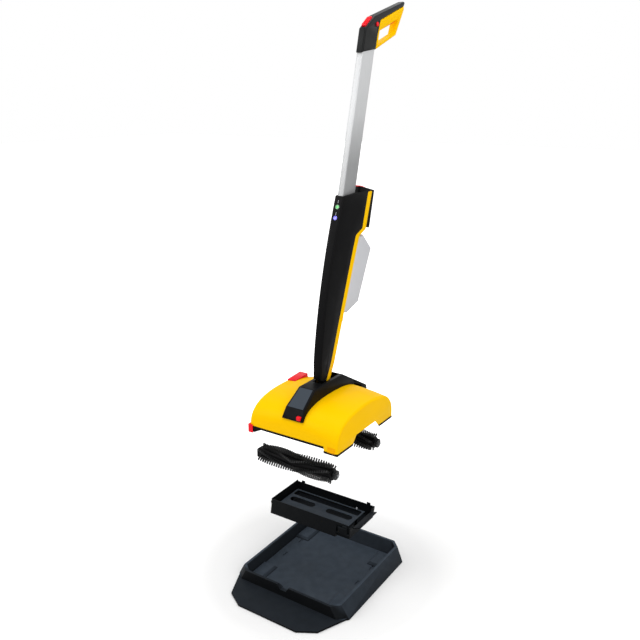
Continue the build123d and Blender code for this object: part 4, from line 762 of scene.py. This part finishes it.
class CLEANER_OT_tank(bpy.types.Operator):
    """Finish the debris tank, its deck and its clip"""
    bl_idname = "cleaner.tank"
    bl_label = "Debris tank"

    def execute(self, context):
        sizes = context.scene.cleaner_sizes
        for node in ("debris_tank", "tank_clip"):
            dress(node, sizes.fine_edge, "tray_plastic", tank_plastic())
        dress("tank_deck", sizes.fine_edge, "tray_plastic", deck_plastic())
        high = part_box("tank_deck")[1]
        middle = (high.x - PEG_FROM_RIGHT, high.y - PEG_FROM_REAR, high.z + PEG_HEIGHT / 2)
        bpy.ops.object.select_all(action="DESELECT")
        bpy.ops.mesh.primitive_cylinder_add(vertices=20, radius=PEG_RADIUS, depth=PEG_HEIGHT,
                                            location=middle)
        peg = context.object
        peg.name = "deck_peg"
        bpy.ops.object.transform_apply(location=True, rotation=True, scale=True)
        only_faces(peg, lambda face: face.normal.z > 0.9)
        bpy.ops.object.mode_set(mode="EDIT")
        bpy.ops.mesh.inset(thickness=PEG_RIM)
        bpy.ops.mesh.extrude_region_move(TRANSFORM_OT_translate={"value": (0, 0, -PEG_DISH)})
        bpy.ops.object.mode_set(mode="OBJECT")
        ease(peg, PEG_EDGE)
        settle(peg, "tank", "tray_plastic", pale_mark())
        return {"FINISHED"}


def bristle(foot, reach, lean, turn):
    """One tapered bristle that leans away from the tuft's middle."""
    sizes = bpy.context.scene.cleaner_sizes
    bpy.ops.mesh.primitive_circle_add(vertices=BRISTLE_SIDES, radius=sizes.bristle_radius, fill_type="NGON",
                                      location=foot)
    piece = bpy.context.object
    bpy.ops.object.mode_set(mode="EDIT")
    bpy.ops.mesh.select_all(action="SELECT")
    tip = foot.copy()
    for share, slimmer in BRISTLE_STAGES:
        bpy.ops.mesh.extrude_region_move(TRANSFORM_OT_translate={"value": (0, 0, reach * share)})
        tip.z += reach * share
        bpy.ops.transform.resize(value=(slimmer, slimmer, 1), center_override=tip)
    bpy.ops.mesh.select_all(action="SELECT")
    bpy.ops.transform.rotate(value=lean, orient_axis="Y", center_override=foot)
    bpy.ops.transform.rotate(value=turn, orient_axis="Z", center_override=foot)
    bpy.ops.object.mode_set(mode="OBJECT")
    return piece


def tuft():
    """One tuft of the rear roller's brush at the middle of its length: dense root and fanned bristles."""
    sizes = bpy.context.scene.cleaner_sizes
    root = sizes.tuft_root - CORE_RADIUS
    bpy.ops.object.select_all(action="DESELECT")
    middle = Vector((ROLLER_X + sizes.tuft_pitch / 2, ROLLER_Y, ROLLER_Z))
    bpy.ops.mesh.primitive_cube_add(size=1, location=middle + Vector((0, 0, CORE_RADIUS + root / 2)),
                                    scale=(sizes.tuft_pitch, ROOT_WIDTH, root + ROOT_SINK))
    piece = bpy.context.object
    bpy.ops.object.transform_apply(location=False, rotation=False, scale=True)
    bpy.ops.object.mode_set(mode="EDIT")
    bpy.ops.mesh.select_all(action="SELECT")
    bpy.ops.mesh.bevel(offset=ROOT_EDGE, segments=1, affect="EDGES")
    bpy.ops.object.mode_set(mode="OBJECT")
    parts = [piece]
    count = sizes.tuft_bristles
    for number in range(count):
        turn = 2 * math.pi * number / count
        foot = middle + Vector((math.cos(turn) * BUNDLE_ALONG, math.sin(turn) * BUNDLE_ACROSS, CORE_RADIUS))
        reach = sizes.tuft_reach - CORE_RADIUS - BRISTLE_STAGGER * (number % 3)
        parts.append(bristle(foot, reach, sizes.bristle_lean, turn))
    bpy.ops.object.select_all(action="DESELECT")
    for part in parts:
        part.select_set(True)
    bpy.context.view_layer.objects.active = piece
    bpy.ops.object.join()
    bpy.ops.object.transform_apply(location=True, rotation=True, scale=True)
    return piece


def on_axis(name, shift, turn):
    """Empty on the rear roller's axis, moved along it and turned about it from the piece's own origin."""
    centre = Vector((0, ROLLER_Y, ROLLER_Z))
    bpy.ops.object.empty_add(location=(0, 0, 0))
    empty = bpy.context.object
    empty.name = name
    empty.rotation_euler = (turn, 0, 0)
    turned = empty.rotation_euler.to_matrix() @ centre
    empty.location = centre - turned + Vector((shift, 0, 0))
    return empty


def roller_end(side):
    """Dark end disc of a roller with a raised ring round its hub."""
    y = ROLLER_Y if side == "rear" else -ROLLER_Y
    middle = (CORE_HIGH.x + END_PROUD - END_THICKNESS / 2, y, ROLLER_Z)
    bpy.ops.object.select_all(action="DESELECT")
    bpy.ops.mesh.primitive_cylinder_add(vertices=48, radius=END_RADIUS, depth=END_THICKNESS,
                                        end_fill_type="NGON", location=middle, rotation=(0, math.pi / 2, 0))
    piece = bpy.context.object
    piece.name = side + "_roller_end"
    bpy.ops.object.transform_apply(location=True, rotation=True, scale=True)
    only_faces(piece, lambda face: face.normal.x > 0.9)
    bpy.ops.object.mode_set(mode="EDIT")
    bpy.ops.mesh.inset(thickness=END_RIM)
    bpy.ops.mesh.extrude_region_move(TRANSFORM_OT_translate={"value": (-END_DISH, 0, 0)})
    bpy.ops.mesh.inset(thickness=END_RING)
    bpy.ops.mesh.extrude_region_move(TRANSFORM_OT_translate={"value": (END_HUB, 0, 0)})
    bpy.ops.object.mode_set(mode="OBJECT")
    ease(piece, END_EDGE)
    settle(piece, side + "_roller", "black_plastic", black_shell())


class CLEANER_OT_rollers(bpy.types.Operator):
    """Build the two brush rollers with their chevron tuft rows"""
    bl_idname = "cleaner.rollers"
    bl_label = "Brush rollers"

    def execute(self, context):
        sizes = context.scene.cleaner_sizes
        count = max(1, round(ROW_HALF / sizes.tuft_pitch))
        step = ROW_HALF / count
        brush = tuft()
        brush.name = "rear_brush"
        along = on_axis("row_step", step, sizes.row_sweep / count)
        around = on_axis("row_turn", 0, 2 * math.pi / sizes.tuft_rows)
        centre = on_axis("brush_middle", 0, 0)
        centre.location = (ROLLER_X, 0, 0)
        context.view_layer.update()
        for empty, number in ((along, count), (around, sizes.tuft_rows)):
            row = brush.modifiers.new("Row", "ARRAY")
            row.count = number
            row.use_relative_offset = False
            row.use_object_offset = True
            row.offset_object = empty
        both = brush.modifiers.new("Both ends", "MIRROR")
        both.mirror_object = centre
        both.use_mirror_merge = False
        apply_modifiers(brush)
        bpy.ops.object.mode_set(mode="EDIT")
        bpy.ops.mesh.select_all(action="SELECT")
        bpy.ops.mesh.normals_make_consistent(inside=False)
        bpy.ops.object.mode_set(mode="OBJECT")
        bpy.ops.object.shade_smooth_by_angle(angle=BRISTLE_ANGLE)
        bpy.ops.object.select_all(action="DESELECT")
        brush.select_set(True)
        bpy.ops.object.duplicate()
        front = context.object
        front.name = "front_brush"
        bpy.ops.transform.resize(value=(1, -1, 1), center_override=(0, 0, 0))
        bpy.ops.object.transform_apply(location=True, rotation=True, scale=True)
        bpy.ops.object.mode_set(mode="EDIT")
        bpy.ops.mesh.select_all(action="SELECT")
        bpy.ops.mesh.normals_make_consistent(inside=False)
        bpy.ops.object.mode_set(mode="OBJECT")
        for empty in (along, around, centre):
            bpy.data.objects.remove(empty)
        for side, piece in (("front", front), ("rear", brush)):
            settle(piece, side + "_roller", "bristle", brush_bristle(), side + "_roller_tufts")
            dress(side + "_roller_core", sizes.fine_edge, "black_plastic", black_shell())
            dress(side + "_bearing_cap", sizes.fine_edge, "black_plastic", black_shell())
            for node in ("_bush", "_roller_axle"):
                finish_node(side + node, turned_steel())
            finish_node(side + "_roller_gear", dark_nylon())
            roller_end(side)
        return {"FINISHED"}


class CLEANER_OT_head(bpy.types.Operator):
    """Finish the yellow cover, its black sole strips (real trim and painted shadow gap), latches and rocker
    """
    bl_idname = "cleaner.head"
    bl_label = "Head"

    def execute(self, context):
        sizes = context.scene.cleaner_sizes
        dress("head_cover", sizes.edge, "yellow_plastic", yellow_shell())
        finish_node("edge_trim", black_shell())
        # Black strips on the cover's lower edge: partly the real trim, partly a painted shadow in the gap
        # under the cover
        leg_top = HEAD_LOW.z + sizes.trim_and_shadow_rise
        for name, top, left, right in (
                ("leg_trim_and_shadow", leg_top, EDGE_LOW.x, EDGE_HIGH.x),
                ("skirt_trim_and_shadow", leg_top + sizes.skirt_relief, SKIRT_LEFT, SKIRT_RIGHT)):
            trim_and_shadow_strip = copy_node("head_cover", name)
            cut_back(trim_and_shadow_strip, ((0, 0, top), (0, 0, 1)), ((left, 0, 0), (-1, 0, 0)),
                     ((right, 0, 0), (1, 0, 0)))
            thicken(trim_and_shadow_strip, sizes.trim_and_shadow_thickness)
            settle(trim_and_shadow_strip, "head", "black_plastic", black_shell())
        plate = block("leg_plate", (LEG_PLATE_X[0], HEAD_LOW.y - sizes.plate_thickness, LEG_PLATE_Z[0]),
                      (LEG_PLATE_X[1], HEAD_LOW.y + LEG_PLATE_SINK, LEG_PLATE_Z[1]))
        only_faces(plate, lambda face: face.normal.y < -0.9)
        dish = (0, sizes.plate_thickness / 2, 0)
        bpy.ops.object.mode_set(mode="EDIT")
        bpy.ops.mesh.inset(thickness=LEG_PLATE_RIM)
        bpy.ops.mesh.extrude_region_move(TRANSFORM_OT_translate={"value": dish})
        bpy.ops.object.mode_set(mode="OBJECT")
        ease(plate, LEG_PLATE_EDGE)
        settle(plate, "head", "yellow_plastic", orange_plate())
        for node in ("front_latch", "rear_latch", "rocker_lever", "release_button"):
            dress(node, sizes.edge, "red_plastic", red_control())
        return {"FINISHED"}


class CLEANER_OT_bridge(bpy.types.Operator):
    """Finish the black bridge and the pedal behind it"""
    bl_idname = "cleaner.bridge"
    bl_label = "Bridge and pedal"

    def execute(self, context):
        sizes = context.scene.cleaner_sizes
        for node in ("bridge_cover", "foot_pedal"):
            dress(node, sizes.edge, "black_plastic", black_shell())
        plate = copy_node("bridge_cover", "bridge_plate")
        only_faces(plate, lambda face: face.normal.y < -0.5 and face.normal.z > 0.75
                   and face.area > SLOPE_AREA)
        bpy.ops.object.mode_set(mode="EDIT")
        bpy.ops.mesh.select_all(action="INVERT")
        bpy.ops.mesh.delete(type="FACE")
        bpy.ops.mesh.select_all(action="SELECT")
        bpy.ops.mesh.inset(thickness=SLOPE_MARGIN)
        bpy.ops.mesh.select_all(action="INVERT")
        bpy.ops.mesh.delete(type="FACE")
        bpy.ops.object.mode_set(mode="OBJECT")
        thicken(plate, sizes.plate_thickness)
        settle(plate, "head", "black_plastic", slate_plate())
        return {"FINISHED"}


class CLEANER_OT_drive(bpy.types.Operator):
    """Finish the chassis, motors, gears, pins and water line inside the head"""
    bl_idname = "cleaner.drive"
    bl_label = "Drive and chassis"

    def execute(self, context):
        for node in ("chassis", "feed_hose", "pump", "terminal_block", "hinge_foot", "column_bolt"):
            finish_node(node, black_shell())
        for node in ("cover_screws", "hinge_pin", "pedal_pin", "rocker_pin", "idler_axles", "trigger_pin",
                     "front_drive_motor", "rear_drive_motor"):
            finish_node(node, turned_steel())
        for node in ("front_idler_gear", "rear_idler_gear", "front_motor_pinion", "rear_motor_pinion",
                     "spray_bar"):
            finish_node(node, dark_nylon())
        finish_node("control_board", green_board())
        return {"FINISHED"}


class CLEANER_OT_column(bpy.types.Operator):
    """Finish the column, its trim, lights and the upright tube"""
    bl_idname = "cleaner.column"
    bl_label = "Column and tube"

    def execute(self, context):
        sizes = context.scene.cleaner_sizes
        dress("column_shell", sizes.fine_edge, "black_plastic", black_shell())
        dress("column_trim", sizes.fine_edge, "yellow_plastic", yellow_shell())
        dress("upright_tube", sizes.fine_edge, "tube_metal", anodised_tube())
        finish_node("green_light", glowing_lens("Green lens", srgb(60, 225, 90), 0.6))
        finish_node("blue_light", glowing_lens("Blue lens", srgb(150, 140, 255), 0.8))
        green, blue = ((low + high) / 2 for low, high in (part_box("green_light"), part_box("blue_light")))
        along = (green - blue).normalized()
        out = Vector((0, -along.z, along.y))
        for name, lens, shade in (("green", green, srgb(24, 120, 44)), ("blue", blue, srgb(52, 40, 190))):
            low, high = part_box(name + "_light")
            reach = (high.z - low.z) / 2
            turn = out.to_track_quat("Z", "Y").to_euler()
            bpy.ops.object.select_all(action="DESELECT")
            bpy.ops.mesh.primitive_circle_add(vertices=32, radius=RING_REACH * reach, fill_type="NGON",
                                              location=lens + out * LIGHT_PROUD, rotation=turn)
            halo = context.object
            halo.name = name + "_halo"
            bpy.ops.object.transform_apply(location=True, rotation=True, scale=True)
            bpy.ops.object.mode_set(mode="EDIT")
            bpy.ops.mesh.select_all(action="SELECT")
            bpy.ops.mesh.inset(thickness=RING_WIDTH * reach)
            bpy.ops.mesh.delete(type="FACE")
            bpy.ops.object.mode_set(mode="OBJECT")
            thicken(halo, sizes.plate_thickness / 2)
            settle(halo, "handle", name + "_lens", glowing_lens(name.title() + " halo", shade, 0.8))
        slope = math.atan2(along.y, along.z)
        for name, foot in (("green_bar", green + along * GREEN_BAR_RISE),
                           ("blue_bar", blue + along * BLUE_BAR_RISE)):
            bar = block(name, (-BAR_HALF, -sizes.plate_thickness, 0), (BAR_HALF, 0, BAR_LENGTH))
            bpy.ops.object.mode_set(mode="EDIT")
            bpy.ops.mesh.select_all(action="SELECT")
            bpy.ops.transform.rotate(value=slope, orient_axis="X", center_override=(0, 0, 0))
            bpy.ops.transform.translate(value=foot + out * LIGHT_PROUD)
            bpy.ops.object.mode_set(mode="OBJECT")
            ease(bar, BAR_EDGE)
            settle(bar, "handle", "black_plastic", pale_mark())
        return {"FINISHED"}


class CLEANER_OT_supplies(bpy.types.Operator):
    """Finish the battery and the water bottle"""
    bl_idname = "cleaner.supplies"
    bl_label = "Battery and bottle"

    def execute(self, context):
        sizes = context.scene.cleaner_sizes
        dress("battery_pack", sizes.edge, "black_plastic", black_shell())
        dress("battery_button", sizes.fine_edge, "red_plastic", red_control())
        dress("water_bottle", sizes.fine_edge, "bottle_plastic", milky_bottle())
        dress("bottle_cap", sizes.fine_edge, "yellow_plastic", yellow_shell())
        return {"FINISHED"}


class CLEANER_OT_handle(bpy.types.Operator):
    """Finish the D-handle and its controls"""
    bl_idname = "cleaner.handle"
    bl_label = "Handle"

    def execute(self, context):
        sizes = context.scene.cleaner_sizes
        dress("handle_shell", sizes.fine_edge, "black_plastic", grip_shell())
        dress("handle_loop", sizes.fine_edge, "yellow_plastic", yellow_shell())
        for node in ("trigger", "thumb_slider", "side_button"):
            dress(node, sizes.fine_edge, "red_plastic", red_control())
        return {"FINISHED"}


OPERATORS = (CLEANER_OT_stage, CLEANER_OT_station, CLEANER_OT_tank, CLEANER_OT_rollers, CLEANER_OT_head,
             CLEANER_OT_bridge, CLEANER_OT_drive, CLEANER_OT_column, CLEANER_OT_supplies, CLEANER_OT_handle)
SETTINGS = {"cleaner_colours": CleanerColours, "cleaner_sizes": CleanerSizes, "cleaner_view": CleanerView}


class CLEANER_PT_panel(bpy.types.Panel):
    """Sidebar list of the steps that dress the floor cleaner"""
    bl_label = "Floor cleaner"
    bl_idname = "CLEANER_PT_panel"
    bl_space_type = "VIEW_3D"
    bl_region_type = "UI"
    bl_category = "Floor cleaner"

    def draw(self, context):
        for step in OPERATORS:
            self.layout.operator(step.bl_idname)


def register():
    """Add the classes and the settings to Blender."""
    for kind in (*SETTINGS.values(), *OPERATORS, CLEANER_PT_panel):
        bpy.utils.register_class(kind)
    for name, kind in SETTINGS.items():
        setattr(bpy.types.Scene, name, PointerProperty(type=kind))


def unregister():
    """Take the classes and the settings out of Blender."""
    for name in SETTINGS:
        delattr(bpy.types.Scene, name)
    for kind in (CLEANER_PT_panel, *reversed(OPERATORS), *SETTINGS.values()):
        bpy.utils.unregister_class(kind)


def main():
    """Dress the floor cleaner."""
    register()
    bpy.ops.cleaner.stage()
    bpy.ops.cleaner.station()
    bpy.ops.cleaner.tank()
    bpy.ops.cleaner.rollers()
    bpy.ops.cleaner.head()
    bpy.ops.cleaner.bridge()
    bpy.ops.cleaner.drive()
    bpy.ops.cleaner.column()
    bpy.ops.cleaner.supplies()
    bpy.ops.cleaner.handle()


if __name__ == "__main__":
    main()
